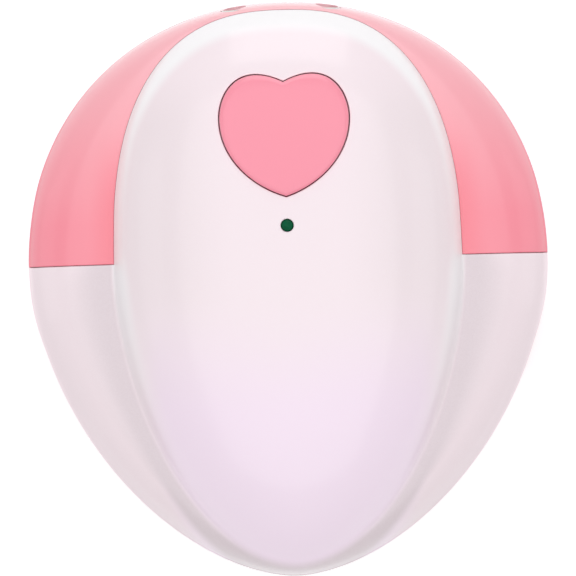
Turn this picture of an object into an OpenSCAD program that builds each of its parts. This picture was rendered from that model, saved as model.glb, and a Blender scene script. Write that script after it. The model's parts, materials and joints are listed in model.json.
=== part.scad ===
// Palm-held fetal heartbeat doppler: an egg-shaped two-shell case with a hood, a crescent trim,
// a heart push button, a sliding battery door, a thumb wheel and a round acoustic face in its back.
// It lies on its back: +Z points up at the user, +Y to the head end, +X to the user's right.

/* [Outline] */
// Half of the case's width at its widest line
case_half_w = 45.25; // [44.5:0.25:47]
// Reach of the case from its widest line to the head end
case_head = 45; // [44.5:0.5:47]
// Reach of the case from its widest line to the tail end
case_tail = 55; // [54:0.5:58]
// Squareness of the case's head half
case_head_power = 2.1; // [2.05:0.05:2.3]
// Squareness of the case's tail half
case_tail_power = 1.76; // [1.74:0.02:1.9]
// Half of the hood's width
hood_half_w = 30.25; // [29.5:0.25:31]
// Bare rim left between the hood and the case's outline at the head
hood_head_rim = 1.6; // [1.4:0.1:2.2]
// Bare rim left between the hood and the case's outline at the tail
hood_tail_rim = 2.5; // [2:0.1:3.5]
// Squareness of the hood's head half
hood_head_power = 2.5; // [2.4:0.05:2.7]
// Squareness of the hood's tail half
hood_tail_power = 1.84; // [1.8:0.02:1.9]

/* [Heights] */
// Height of the seam between the two shells
seam_z = 14; // [13.5:0.25:15]
// Height of the skirt where the hood starts
foot_z = 21.5; // [21:0.25:22.5]
// Room from the key board up to the hood's crown
crown_room = 11.1; // [10.9:0.1:13]
// How full the hood is across its top
dome_power = 3; // [2.8:0.1:3.4]
// Part of the hood's radius that its side wall needs to turn down
dome_spread = 1.03; // [1.02:0.01:1.05]

/* [Shells] */
// Wall of both shells
wall = 2; // [1.8:0.1:2.2]
// Thickness of the trim
trim_t = 1.6; // [1.4:0.1:1.7]
// Height of the flange under the trim
flange_t = 1.2; // [1:0.1:1.4]
// Height of the lip that centres the front shell in the rear shell
lip_h = 1.5; // [1:0.1:2]
// Thickness of that lip
lip_t = 1.2; // [1:0.1:1.4]
// How far the back curves in from the seam to the flat base
bowl_w = 10; // [9:0.25:10.5]
// Visible line left between two fixed pieces
line_gap = 0.15; // [0.1:0.05:0.2]

/* [Heart button] */
// Half of the heart's width
heart_half_w = 11.2; // [10.5:0.1:11.4]
// Middle of the heart, along the case
heart_y = 26; // [25:0.25:26.5]
// Running clearance round the heart
heart_gap = 0.3; // [0.2:0.05:0.35]
// How far the heart stands over the hood
heart_proud = 0.6; // [0.4:0.1:0.9]
// Travel of the button
heart_travel = 0.9; // [0.6:0.1:1]
// Wall of the collar that guides the heart
collar_t = 1.2; // [1:0.1:1.4]

/* [Light] */
// Diameter of the light's lens
led_d = 2.2; // [2:0.1:2.6]
// Place of the light along the case
led_y = 10.7; // [10:0.1:11]

/* [Battery] */
// Length of the battery's case
cell_l = 46.4; // [46:0.1:46.5]
// Width of the battery
cell_w = 26.5; // [26:0.1:26.5]
// Thickness of the battery
cell_t = 17.5; // [17:0.1:17.5]
// Tail side of the battery
cell_y = 2; // [1.9:0.1:2.2]
// How much wider than the battery bay the door is, on each side
door_lap = 0.2; // [0:0.1:0.3]
// Thickness of the door
door_t = 2; // [1.8:0.1:2]
// Depth of the foam pad on the door
pad_t = 0.5; // [0.3:0.1:0.5]

/* [Sockets] */
// Radius of a headphone socket's bore
jack_bore_r = 1.8; // [1.75:0.01:1.85]
// Distance of each socket from the middle
jack_x = 8; // [7.5:0.5:8.5]
// Length of a socket's body
jack_l = 11; // [10:0.5:11.2]

/* [Volume] */
// Radius of the thumb wheel
wheel_r = 9; // [8.5:0.1:9.2]
// Thickness of the thumb wheel
wheel_t = 3.6; // [3.2:0.1:3.7]
// Place of the wheel along the case
wheel_y = -7; // [-8:0.5:-6]
// Number of grip teeth round the wheel
wheel_teeth = 30; // [20:1:36]

/* [Probe] */
// Radius of the acoustic face with its gasket
probe_r = 18.2; // [17.5:0.1:18.3]
// Place of the probe along the case
probe_y = -19.5; // [-20:0.5:-19]

/* [Screws] */
// Shank radius of a case screw
screw_r = 1.3; // [1.2:0.05:1.4]
// Head radius of a case screw
screw_head_r = 2.4; // [2.2:0.1:2.5]
// Shank radius of a board screw
tack_r = 0.9; // [0.8:0.05:1]

/* [Hidden] */

// The widest line: it puts the origin in the middle of the case's length
mid_y = (case_tail - case_head) / 2;

// Heights over the battery, from the table up: door, pad, battery, key board and crown
board_t = 1.6;
cell_z = door_t + pad_t;
cell_top = cell_z + cell_t;
key_gap = 1.3;
key_z = cell_top + key_gap;
key_top = key_z + board_t;
crown_z = key_top + crown_room;

hood_head = case_head - hood_head_rim;
hood_tail = case_tail - hood_tail_rim;
// Height from which the hood's dome springs, so that it meets the skirt at foot_z
dome_edge = 2;
dome_at_foot = pow(1 - pow(1 / dome_spread, dome_power), 1 / dome_edge);
spring_z = (foot_z - dome_at_foot * crown_z) / (1 - dome_at_foot);
// Softness of the valley between skirt and hood, at the widest line and behind it
valley_hard = 0.4;
valley_soft = 3.2;
// Columns round half a shell, and the turn that separates its two halves
half_steps = 40;
half_gap = 0.15;
ledge_t = trim_t + line_gap;
flange_z = seam_z + flange_t;
lip_gap = 0.15;
bowl_power = 2.4;
floor_t = wall;
fine = 48;
overcut = 1;
touch = 0.05;

// Boards: the main one over the probe, the key board over the battery
board_z = 11.2;
key_half_w = 22;
key_inset = 3.6;
key_y = [-2.5, 42.5];
main_y = [-24.5, -0.3];
main_inset = 6;
jack_z = key_z - 2.9;
jack_w = 6;
jack_h = 5.6;
jack_nose_r = 2.5;
jack_front = mid_y + hood_head - 5.4;
jack_mouth = mid_y + hood_head + 0.2;

// Heart button stack
switch_w = 8;
switch_h = 4.4;
switch_top = key_top + switch_h;
plunger_well = 3.2;
plunger_sunk = 2;
plunger_r = 1.6;
plunger_top = switch_top + heart_travel + 0.4;
heart_wall = 1.6;
flange_grow = 1.05;
flange_h = 1.2;
spring_turns = 2;
spring_r = 3.7;
wire_r = 0.22;

// Probe stack
seal_w = 1;
seal_sunk = 0.1;
face_t = 0.95;
spigot_top = floor_t + 0.2;
cup_r = 14.8;
cup_t = 1.2;
cup_top = 8.6;
crystal_r = 12.5;
crystal_t = 1;
crystal_z = spigot_top + 0.1;
backing_r = 10.6;
divider_t = 0.8;
lead_r = 0.4;
lead_rise = 2;
lead_bend = 0.6;
lead_foot = 1.4;

// Battery bay: the snap sits past one end of the battery, and a little room is left past the other
snap_room = 5.9;
end_room = 2.3;
bay_x = (cell_l + snap_room + end_room) / 2;
cell_x = end_room - bay_x;
door_half_w = bay_x + door_lap;
rib_t = 1.2;
side_rib_t = 2.2;
bay_gap = 0.3;
bay_y = [cell_y - bay_gap, cell_y + cell_w + bay_gap];
door_y = bay_y[0] - 0.5;
door_gap = 0.6;
grip_lines = 5;
grip_pitch = 1.8;
grip_w = 18;
grip_r = 0.45;
grip_y = bay_y[1] + 0.4;
tongue_z = 1.2;
tongue_w = 1.1;
tongue_end = bay_y[1] + 7.2;
slide_gap = 0.1;

// Fasteners
post_r = 3.6;
recess_r = screw_head_r + 0.5;
shelf_z = 8;
head_post_x = bay_x + 6.7;
case_posts = [[head_post_x, 16], [-head_post_x, 16], [22.5, -29.5], [-22.5, -29.5]];
screw_l = 8;
screw_head_t = 1.8;
board_posts = [[20.5, -3.5], [-20.5, -3.5], [27, -19], [-27, -19]];
key_posts = [[18, 10], [-18, 10], [16.5, 33], [-16.5, 33]];
board_post_r = 2.4;
tack_head_r = 1.9;
tack_head_t = 1.1;
tack_l = 5;
pilot_gap = 0.02;

// Wheel
wheel_z = 3.8;
wheel_reach = egg_x(wheel_y) - 0.2;
wheel_x = wheel_reach - wheel_r;
tooth_h = 0.4;
dish_r = 6;
dish_t = 0.6;
slot_gap = 0.4;
shaft_r = 1.5;
pot_w = 10;
pot_side = 4.2;
pot_gap = 0.35;
wheel_head_r = 2.2;

// ---- Surfaces ----

// The outlines' squareness grows from the widest line up to this sine of the turn
power_turn = 0.35;

function ease(v) = let(c = min(1, max(0, v))) c * c * (3 - 2 * c);

// Radius of an egg round the middle of its widest line, at the angle a from +X
function egg(a, w, up, down, up_power, down_power) =
    let(s = sin(a), reach = s > 0 ? up : down, end_power = s > 0 ? up_power : down_power)
    let(power = 2 + (end_power - 2) * ease(abs(s) / power_turn))
    pow(pow(abs(cos(a)) / w, power) + pow(abs(s) / reach, power), -1 / power);

function case_r(a) = egg(a, case_half_w, case_head, case_tail, case_head_power, case_tail_power);
function hood_r(a) = egg(a, hood_half_w, hood_head, hood_tail, hood_head_power, hood_tail_power);

// Half width of the case at a place along it
function egg_x(y) =
    let(d = y - mid_y, reach = d > 0 ? case_head : case_tail)
    let(power = d > 0 ? case_head_power : case_tail_power)
    case_half_w * pow(1 - pow(abs(d) / reach, power), 1 / power);

// The skirt is a quarter ellipse from the seam up to the hood's foot
function skirt_z(a, r) =
    let(edge = case_r(a), s = min(1, max(0, (edge - r) / (edge - hood_r(a)))))
    seam_z + (foot_z - seam_z) * sqrt(1 - (1 - s) * (1 - s));

function dome_z(a, r) =
    let(q = min(1, r / (hood_r(a) * dome_spread)))
    spring_z + (crown_z - spring_z) * pow(1 - pow(q, dome_power), 1 / dome_edge);

function soft_max(p, q, k) = let(h = max(k - abs(p - q), 0) / k) max(p, q) + h * h * k / 4;
function valley(a) = valley_hard + (valley_soft - valley_hard) * ease(-sin(a) / power_turn);

// Outer surface of the front shell, and the inner one that lies the wall below it
function top_z(a, r) = soft_max(skirt_z(a, r), dome_z(a, r), valley(a));
function roof_z(a, r, under) =
    max(soft_max(skirt_z(a, r + under) - under, dome_z(a, r + wall) - wall, 1), seam_z + 0.8);

// The same surfaces over a place in plan
function turn_of(x, y) = atan2(y - mid_y, x);
function reach_of(x, y) = norm([x, y - mid_y]);
function hood_over(x, y) = top_z(turn_of(x, y), reach_of(x, y));
function roof_over(x, y) = roof_z(turn_of(x, y), reach_of(x, y), y > mid_y ? wall + ledge_t : wall);

function spot(a, rz) = [rz[0] * cos(a), mid_y + rz[0] * sin(a), rz[1]];
function flat_list(lists) = [for (l = lists) for (v = l) v];

// ---- Solids from columns ----

// A closed shell round the middle: each column is a profile from the outer pole to the inner pole
module ring_shell(columns, outer_pole, inner_pole, upward) {
    n = len(columns);
    m = len(columns[0]);
    last = 1 + n * m;
    quads = flat_list([for (j = [0 : n - 1]) let(k = (j + 1) % n) flat_list([for (i = [0 : m - 2])
        let(a = 1 + j * m + i, b = 1 + k * m + i) [[a, b, b + 1], [a, b + 1, a + 1]]])]);
    caps = flat_list([for (j = [0 : n - 1]) let(k = (j + 1) % n)
        [[0, 1 + k * m, 1 + j * m], [last, j * m + m, k * m + m]]]);
    faces = concat(quads, caps);
    points = concat([outer_pole], flat_list(columns), [inner_pole]);
    polyhedron(points, upward ? faces : [for (f = faces) [f[0], f[2], f[1]]]);
}

// An open band: each column is a closed loop whose first half faces its second half
module band_solid(columns) {
    n = len(columns);
    m = len(columns[0]);
    h = m / 2;
    sides = flat_list([for (j = [0 : n - 2]) flat_list([for (i = [0 : m - 1])
        let(a = j * m + i, b = j * m + (i + 1) % m) [[a, a + m, b + m], [a, b + m, b]]])]);
    e = (n - 1) * m;
    ends = flat_list([for (i = [0 : h - 2]) let(p = i, q = i + 1, r = m - 2 - i, s = m - 1 - i)
        [[p, q, r], [p, r, s], [e + p, e + r, e + q], [e + p, e + s, e + r]]]);
    polyhedron(flat_list(columns), concat(sides, ends));
}

// A round lead along a list of points, with 8 sides
module lead(path, r) {
    n = len(path);
    sides = 8;
    rings = [for (i = [0 : n - 1])
        let(t = path[min(i + 1, n - 1)] - path[max(i - 1, 0)], d = t / norm(t))
        let(u0 = cross(d, abs(d[2]) < 0.95 ? [0, 0, 1] : [1, 0, 0]), u = u0 / norm(u0), v = cross(d, u))
        for (k = [0 : sides - 1]) let(a = k * 360 / sides) path[i] + r * (cos(a) * u + sin(a) * v)];
    skin = flat_list([for (i = [0 : n - 2]) flat_list([for (k = [0 : sides - 1])
        let(a = i * sides + k, b = i * sides + (k + 1) % sides)
        [[a, b + sides, b], [a, a + sides, b + sides]]])]);
    e = (n - 1) * sides;
    ends = flat_list([for (k = [1 : sides - 2]) [[0, k, k + 1], [e, e + k + 1, e + k]]]);
    polyhedron(rings, concat(skin, ends));
}

module rod(x, y, low, high, r) {
    translate([x, y, low]) cylinder(h = high - low, r = r, $fn = fine);
}

module lying_rod(x, from, to, z, r) {
    translate([x, from, z]) rotate([-90, 0, 0]) cylinder(h = to - from, r = r, $fn = fine);
}

module block(low, high) {
    translate(low) cube(high - low);
}

module round_plate(low, high, r) {
    size = high - low;
    translate(low) linear_extrude(size[2]) union() {
        translate([r, 0]) square([size[0] - 2 * r, size[1]]);
        translate([0, r]) square([size[0], size[1] - 2 * r]);
        for (x = [r, size[0] - r], y = [r, size[1] - r]) translate([x, y]) circle(r, $fn = fine);
    }
}

// ---- Front shell and trim ----

hood_steps = [0.16, 0.32, 0.46, 0.58, 0.68, 0.77, 0.845, 0.905, 0.95];
skirt_steps = [0.22, 0.38, 0.52, 0.65, 0.77, 0.87, 0.95, 1];
roof_steps = [1, 0.85, 0.62, 0.38, 0.15];

// Inside of the front shell, from the seam's lip to the pole
function inside_column(a, under) =
    let(lip = case_r(a) - wall - lip_gap, brow = hood_r(a) - wall - 0.4, back = lip - lip_t)
    concat(
        [[lip, seam_z], [lip, seam_z - lip_h], [back, seam_z - lip_h]],
        [for (f = roof_steps) let(r = brow + (back - brow) * f) [r, roof_z(a, r, under)]],
        [for (i = [len(hood_steps) - 1 : -1 : 0]) let(r = brow * hood_steps[i]) [r, roof_z(a, r, under)]]);

function hood_column(a) = [for (f = hood_steps) let(r = hood_r(a) * f) [r, top_z(a, r)]];

// Tail half: hood, soft valley and skirt are one surface
function tail_column(a) =
    let(foot = hood_r(a), band = case_r(a) - foot, q = min(1.6, 0.3 * band))
    concat(hood_column(a),
        [for (d = [-q, -q / 3, q / 3, q]) [foot + d, top_z(a, foot + d)]],
        [for (f = skirt_steps) let(r = foot + q + (band - q) * sin(90 * f))
            [r, f == 1 ? seam_z : top_z(a, r)]],
        inside_column(a, wall));

// Head half: the hood's wall drops to the ledge that carries the trim
function ledge_rz(a, f, t) =
    let(foot = hood_r(a), reach = max(case_r(a) - foot - t, 0.12))
    [foot + reach * sin(90 * f), flange_z + (foot_z - t - flange_z) * cos(90 * f)];
function head_column(a) =
    let(foot = hood_r(a), edge = case_r(a))
    concat(hood_column(a),
        [[foot - 0.6, top_z(a, foot - 0.6)], [foot, foot_z - 0.2]],
        [for (i = [0 : 7]) ledge_rz(a, i / 7, ledge_t)],
        [[edge, flange_z], [edge, seam_z]],
        inside_column(a, wall + ledge_t));

// Heart outline round its own middle, as drawn at its first size: two cubic curves, mirrored
heart_drawn = 11.2;
heart_notch = 9.57;
heart_tip = -10.24;
heart_wide = 3.27;
function cubic(p, t) =
    let(s = 1 - t) s * s * s * p[0] + 3 * s * s * t * p[1] + 3 * s * t * t * p[2] + t * t * t * p[3];
function heart_half(n) = concat(
    [for (i = [0 : n])
        cubic([[0, heart_notch], [8.1, 13.64], [heart_drawn, 7.42], [heart_drawn, heart_wide]], i / n)],
    [for (i = [1 : n - 1])
        cubic([[heart_drawn, heart_wide], [heart_drawn, -3.1], [6.25, -8.3], [0, heart_tip]], i / n)],
    [[0, heart_tip]]);
heart_rim = let(h = heart_half(12), n = len(h))
    concat(h, [for (i = [n - 2 : -1 : 1]) [-h[i][0], h[i][1]]]);
function heart_scale(grow) = (heart_half_w + grow) / heart_drawn;
function heart_at(grow) =
    let(k = heart_scale(grow)) [for (p = heart_rim) [p[0] * k, heart_y + p[1] * k]];

module heart_prism(grow, low, high) {
    translate([0, 0, low]) linear_extrude(high - low) polygon(heart_at(grow));
}

// Lowest place of the roof over the collar: the collar ends there and the button's flange waits below
collar_z = roof_over(0, heart_y + (heart_notch + 2) * heart_scale(0)) - 0.3;

module heart_collar() {
    inner = heart_at(heart_gap - 0.1);
    outer = heart_at(heart_gap + collar_t);
    n = len(inner);
    rise = -0.9;
    loops = [for (i = [0 : n - 1]) let(p = inner[i], q = outer[i]) [
        [p[0], p[1], collar_z], [q[0], q[1], collar_z],
        [q[0], q[1], hood_over(q[0], q[1]) + rise], [p[0], p[1], hood_over(p[0], p[1]) + rise]]];
    skin = flat_list([for (j = [0 : n - 1]) let(k = (j + 1) % n) flat_list([for (i = [0 : 3])
        let(a = j * 4 + i, b = j * 4 + (i + 1) % 4, c = k * 4 + i, d = k * 4 + (i + 1) % 4)
        [[a, d, b], [a, c, d]]])]);
    polyhedron(flat_list(loops), skin);
}

function post_top(p) = roof_over(p[0], p[1]) + 0.7;

module front_case() color("white") {
    columns = concat(
        [for (j = [0 : half_steps]) let(a = 180 * j / half_steps) [for (rz = head_column(a)) spot(a, rz)]],
        [for (j = [0 : half_steps]) let(a = 180 + half_gap + (180 - 2 * half_gap) * j / half_steps)
            [for (rz = tail_column(a)) spot(a, rz)]]);
    difference() {
        union() {
            ring_shell(columns, [0, mid_y, crown_z], [0, mid_y, crown_z - wall], true);
            heart_collar();
            for (p = case_posts) rod(p[0], p[1], seam_z + touch, post_top(p), screw_r + 1.6);
            for (p = key_posts) rod(p[0], p[1], key_top + touch, post_top(p), board_post_r);
        }
        heart_prism(heart_gap, collar_z - overcut, crown_z + overcut);
        rod(0, led_y, crown_z - 2 * wall, crown_z + overcut, led_d / 2 + 0.15);
        for (p = case_posts) rod(p[0], p[1], seam_z - overcut, shelf_z + screw_l + 0.3, screw_r + pilot_gap);
        for (p = key_posts) rod(p[0], p[1], key_top - overcut, key_z + tack_l - 1, tack_r + pilot_gap);
        jack_holes();
    }
}

module jack_holes() {
    for (x = [-jack_x, jack_x])
        lying_rod(x, jack_front - overcut, jack_mouth + 3, jack_z, jack_nose_r + touch);
}

// The trim's outside continues the skirt's quarter ellipse; its inside lies on the ledge
function trim_out(a, f) =
    let(foot = hood_r(a) + line_gap, low = (flange_t + line_gap) / (foot_z - seam_z), g = f * acos(low))
    [foot + (case_r(a) - foot) * sin(g), seam_z + (foot_z - seam_z) * cos(g)];
function trim_in(a, f) =
    let(foot = hood_r(a) + line_gap, reach = max(case_r(a) - foot - trim_t, 0.25), low = flange_z + line_gap)
    [foot + reach * sin(90 * f), low + (foot_z - trim_t - low) * cos(90 * f)];

module side_trim() color("lightpink") {
    steps = [0 : 0.125 : 1];
    columns = [for (j = [0 : half_steps]) let(a = 180 * j / half_steps)
        [for (rz = concat([for (f = steps) trim_out(a, f)], [for (f = steps) trim_in(a, 1 - f)]))
            let(p = spot(a, rz)) [p[0], max(p[1], mid_y + line_gap), p[2]]]];
    difference() {
        band_solid(columns);
        jack_holes();
    }
}

// ---- Heart button, switch and light ----

button_low = collar_z - 0.3;

module heart_button() color("lightpink") {
    rim = heart_at(0);
    n = len(rim);
    rings = [0.94, 0.8, 0.6, 0.35];
    lid = [for (p = rim) [p[0], p[1], hood_over(p[0], p[1]) + heart_proud - 0.45]];
    crown = [for (s = rings) for (p = rim) let(x = p[0] * s, y = heart_y + (p[1] - heart_y) * s)
        [x, y, hood_over(x, y) + heart_proud - (s > 0.9 ? 0.05 : 0)]];
    base = [for (p = rim) [p[0], p[1], button_low - 0.3]];
    points = concat(base, lid, crown, [[0, heart_y, hood_over(0, heart_y) + heart_proud]]);
    levels = len(rings) + 2;
    skin = flat_list([for (l = [0 : levels - 2]) flat_list([for (i = [0 : n - 1]) let(k = (i + 1) % n)
        [[l * n + i, l * n + k, l * n + n + k], [l * n + i, l * n + n + k, l * n + n + i]]])]);
    fans = [for (i = [0 : n - 1]) [levels * n, (levels - 1) * n + i, (levels - 1) * n + (i + 1) % n]];
    bottom = concat([0], [for (i = [n - 1 : -1 : 1]) i]);
    difference() {
        union() {
            polyhedron(points, concat(skin, fans, [bottom]));
            heart_prism(flange_grow, button_low - flange_h, button_low);
        }
        heart_prism(-heart_wall, button_low - flange_h - overcut, cap_z);
    }
    rod(0, heart_y, plunger_top + touch, cap_z + 0.5, plunger_r + 0.5);
}

cap_z = hood_over(0, heart_y + (heart_notch - 1) * heart_scale(0)) - 1.2;

module button_spring() color("silver") {
    low = switch_top + wire_r + touch;
    high = cap_z - wire_r - touch;
    steps = spring_turns * 14;
    lead([for (i = [0 : steps]) let(f = i / steps, a = 360 * spring_turns * f)
        [spring_r * cos(a), heart_y + spring_r * sin(a), low + (high - low) * f]], wire_r);
}

module power_switch() color("dimgray") difference() {
    block([-switch_w / 2, heart_y - switch_w / 2, key_top + touch],
        [switch_w / 2, heart_y + switch_w / 2, switch_top]);
    rod(0, heart_y, switch_top - plunger_well, switch_top + overcut, plunger_r + 0.1);
}

module switch_plunger() color("white") rod(0, heart_y, switch_top - plunger_sunk, plunger_top, plunger_r);

lead_pitch = 1.2;
led_top = crown_z + 0.4;
led_seat = roof_over(0, led_y) - 1.6;

module status_led() color("darkgreen") {
    rod(0, led_y, led_seat, led_seat + 0.8, led_d / 2 + 0.35);
    rod(0, led_y, led_seat, led_top - led_d / 2, led_d / 2);
    translate([0, led_y, led_top - led_d / 2]) sphere(led_d / 2, $fn = fine);
}

module led_leads() color("silver")
    for (x = [-lead_pitch / 2, lead_pitch / 2])
        block([x - 0.2, led_y - 0.2, key_z - 0.8], [x + 0.2, led_y + 0.2, led_seat - 0.02]);

module led_spacer() color("white") difference() {
    rod(0, led_y, key_top + touch, led_seat - touch, 2);
    rod(0, led_y, key_top, led_seat, 1.1);
}

// ---- Rear shell ----

// Quarter superellipse of the back, from the base (f = 0) to the seam (f = 1)
function bowl_rz(a, f, inset) =
    [case_r(a) - inset - bowl_w * (1 - pow(sin(90 * f), 2 / bowl_power)),
        seam_z - (seam_z - inset) * pow(cos(90 * f), 2 / bowl_power)];

bowl_steps = [0, 0.12, 0.25, 0.38, 0.52, 0.66, 0.8, 0.92, 1];
bowl_turns = [for (j = [0 : 2 * half_steps - 1]) 180 * j / half_steps];

module bowl(inset) {
    columns = [for (a = bowl_turns)
        [for (rz = concat([for (f = bowl_steps) bowl_rz(a, f, 0)],
            [for (f = bowl_steps) bowl_rz(a, 1 - f, inset)])) spot(a, rz)]];
    ring_shell(columns, [0, mid_y, 0], [0, mid_y, inset], false);
}

module door_cut(side, low, high, from) {
    block([-door_half_w - side, from, low], [door_half_w + side, case_head + mid_y + overcut, high]);
}

module rear_case() color("white") difference() {
    union() {
        bowl(wall);
        for (p = case_posts) rod(p[0], p[1], wall - 0.3, seam_z - touch, post_r);
        for (p = board_posts) rod(p[0], p[1], wall - 0.3, board_z - touch, board_post_r);
        rod(0, probe_y, wall - 0.3, 6, cup_r + 1.8);
        for (y = [bay_y[0] - rib_t, bay_y[1]]) block([-bay_x, y, wall - 0.3], [bay_x, y + rib_t, board_z]);
        for (x = [-bay_x - side_rib_t, bay_x])
            block([x, bay_y[0] - rib_t, wall - 0.3], [x + side_rib_t, bay_y[1] + rib_t, board_z]);
    }
    for (p = case_posts) {
        rod(p[0], p[1], -overcut, shelf_z, recess_r);
        rod(p[0], p[1], -overcut, seam_z + overcut, screw_r + 0.2);
    }
    for (p = board_posts) rod(p[0], p[1], board_z - tack_l, board_z + overcut, tack_r + pilot_gap);
    rod(0, probe_y, -overcut, face_t + touch, probe_r);
    rod(0, probe_y, -overcut, 6 + overcut, cup_r + 0.3);
    door_cut(line_gap, -overcut, tongue_z, door_y - line_gap);
    door_cut(line_gap + tongue_w, tongue_z - touch, door_t + door_gap, door_y - line_gap);
    block([-bay_x, bay_y[0], 0], [bay_x, bay_y[1], seam_z]);
    wheel_slot();
}

// The wheel's own pocket opens the side wall where the rim comes through
module wheel_slot() {
    rod(wheel_x, wheel_y, wheel_z - slot_gap, wheel_z + wheel_t + slot_gap, wheel_r + slot_gap);
    rod(wheel_x, wheel_y, wheel_z - slot_gap - 1.1, wheel_z, wheel_head_r + slot_gap);
}

// ---- Battery bay ----

module battery_door() color("white") difference() {
    intersection() {
        bowl_fill();
        union() {
            block([-door_half_w, door_y, -overcut], [door_half_w, case_head + mid_y, door_t]);
            block([-door_half_w - tongue_w + slide_gap, door_y, tongue_z + 2 * slide_gap],
                [door_half_w + tongue_w - slide_gap, tongue_end, door_t]);
        }
    }
    for (i = [0 : grip_lines - 1]) translate([-grip_w / 2, grip_y + grip_pitch * i, 0])
        rotate([0, 90, 0]) cylinder(h = grip_w, r = grip_r, $fn = 24);
}

// The back as one solid, without its hollow
module bowl_fill() {
    columns = [for (a = bowl_turns) [for (f = bowl_steps) spot(a, bowl_rz(a, f, 0))]];
    ring_shell(columns, [0, mid_y, 0], [0, mid_y, seam_z], false);
}

pad_l = 32;
pad_w = 14;
module battery_pad() color("dimgray")
    block([cell_x + cell_l / 2 - pad_l / 2, cell_mid - pad_w / 2, door_t + touch],
        [cell_x + cell_l / 2 + pad_l / 2, cell_mid + pad_w / 2, door_t + pad_t - slide_gap]);

cell_mid = cell_y + cell_w / 2;
stud_z = cell_z + cell_t / 2;
stud_pitch = 12.7;
stud_l = 2;
stud_r = 2.9;
socket_r = 3.9;

module battery_9v() color("gold") translate([cell_x, 0, 0])
    rotate([90, 0, 90]) round_plate([cell_y, cell_z, 0], [cell_y + cell_w, cell_top, cell_l], 2);

module battery_terminals() color("silver") for (s = [-1, 1])
    translate([cell_x + cell_l + touch, cell_mid + s * stud_pitch / 2, stud_z])
        rotate([0, 90, 0]) cylinder(h = stud_l, r = s > 0 ? stud_r : socket_r, $fn = s > 0 ? fine : 6);

snap_clear = 0.3;
snap_x = cell_x + cell_l + snap_clear;
snap_half_w = cell_w / 2 - 0.55;
snap_half_h = 5.6;
snap_seat_r = 4.2;
module battery_snap() color("dimgray") difference() {
    block([snap_x, cell_mid - snap_half_w, stud_z - snap_half_h],
        [bay_x - snap_clear, cell_mid + snap_half_w, stud_z + snap_half_h]);
    for (s = [-1, 1]) translate([snap_x - overcut, cell_mid + s * stud_pitch / 2, stud_z])
        rotate([0, 90, 0]) cylinder(h = stud_l + 0.1 + overcut, r = snap_seat_r, $fn = fine);
}

// The leads leave the snap's back, pass over the bay's side wall and come down on the main board.
// Each route is given from the bay's inner side, the battery's middle line and the main board.
snap_back = bay_x - snap_clear + touch;
lead_end_z = board_z + board_t + touch;
battery_lead_r = 0.6;
red_route = [[0.4, 1.75, 1.3], [1.7, 0.25, 2], [2.1, -3.25, 2.8], [1.9, -8.25, 3.4], [1.1, -13.25, 3.6],
    [0.1, -16.75, 3.5], [-0.3, -18.05, 2.9], [-0.3, -18.25, 2.3]];
black_route = [[0.2, -3.25, 1.3], [0.7, -4.05, 1.3], [0.9, -6.25, 1.3], [0.9, -9.25, 1.5],
    [1.4, -13.75, 2.1], [2.3, -15.85, 2.8], [3.1, -17.65, 3], [3.2, -18.25, 2.4]];
module battery_lead(route) {
    places = [for (p = route) [bay_x + p[0], cell_mid + p[1], board_z + p[2]]];
    first = places[0];
    last = places[len(places) - 1];
    lead(concat([[snap_back, first[1], first[2]]], places, [[last[0], last[1], lead_end_z]]), battery_lead_r);
}
module battery_lead_red() color("red") battery_lead(red_route);
module battery_lead_black() color("black") battery_lead(black_route);

// ---- Boards ----

function inset_case(inset) =
    [for (a = bowl_turns) let(r = case_r(a) - inset) [r * cos(a), mid_y + r * sin(a)]];
function inset_hood(inset) =
    [for (a = bowl_turns) let(r = hood_r(a) - inset) [r * cos(a), mid_y + r * sin(a)]];

module main_board() color("darkgreen") difference() {
    translate([0, 0, board_z]) linear_extrude(board_t) intersection() {
        polygon(inset_case(main_inset));
        translate([-case_half_w, main_y[0]]) square([2 * case_half_w, main_y[1] - main_y[0]]);
    }
    for (p = board_posts) rod(p[0], p[1], board_z - overcut, board_z + board_t + overcut, tack_r + 0.15);
}

module key_board() color("darkgreen") difference() {
    translate([0, 0, key_z]) linear_extrude(board_t) intersection() {
        polygon(inset_hood(wall + key_inset));
        translate([-key_half_w, key_y[0]]) square([2 * key_half_w, key_y[1] - key_y[0]]);
    }
    for (p = key_posts) rod(p[0], p[1], key_z - overcut, key_top + overcut, tack_r + 0.15);
    for (x = [-lead_pitch / 2, lead_pitch / 2])
        block([x - 0.3, led_y - 0.3, key_z - overcut], [x + 0.3, led_y + 0.3, key_top + overcut]);
}

ribbon_x = -16;
ribbon_w = 10;
ribbon_t = 0.6;
ribbon_lean = 0.7;
module board_ribbon() color("lightgray") {
    y = key_y[0] + 0.3;
    low = part_z;
    high = key_z - touch;
    bends = [[0, 0], [0.3, 0.3], [0.5, 0.55], [ribbon_lean, 0.8], [ribbon_lean, 1]];
    front = [for (p = bends) [y + p[0], low + p[1] * (high - low)]];
    back = [for (i = [len(front) - 1 : -1 : 0]) [front[i][0] + ribbon_t, front[i][1]]];
    translate([ribbon_x, 0, 0]) rotate([90, 0, 90]) linear_extrude(ribbon_w) polygon(concat(front, back));
}

module headphone_jack(x) {
    difference() {
        union() {
            block([x - jack_w / 2, jack_front - jack_l, jack_z - jack_h / 2],
                [x + jack_w / 2, jack_front, jack_z + jack_h / 2]);
            lying_rod(x, jack_front - touch, jack_mouth, jack_z, jack_nose_r);
        }
        lying_rod(x, jack_front - jack_l - overcut, jack_mouth + overcut, jack_z, jack_bore_r);
    }
}
module headphone_jack_left() color("dimgray") headphone_jack(-jack_x);
module headphone_jack_right() color("dimgray") headphone_jack(jack_x);

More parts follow.
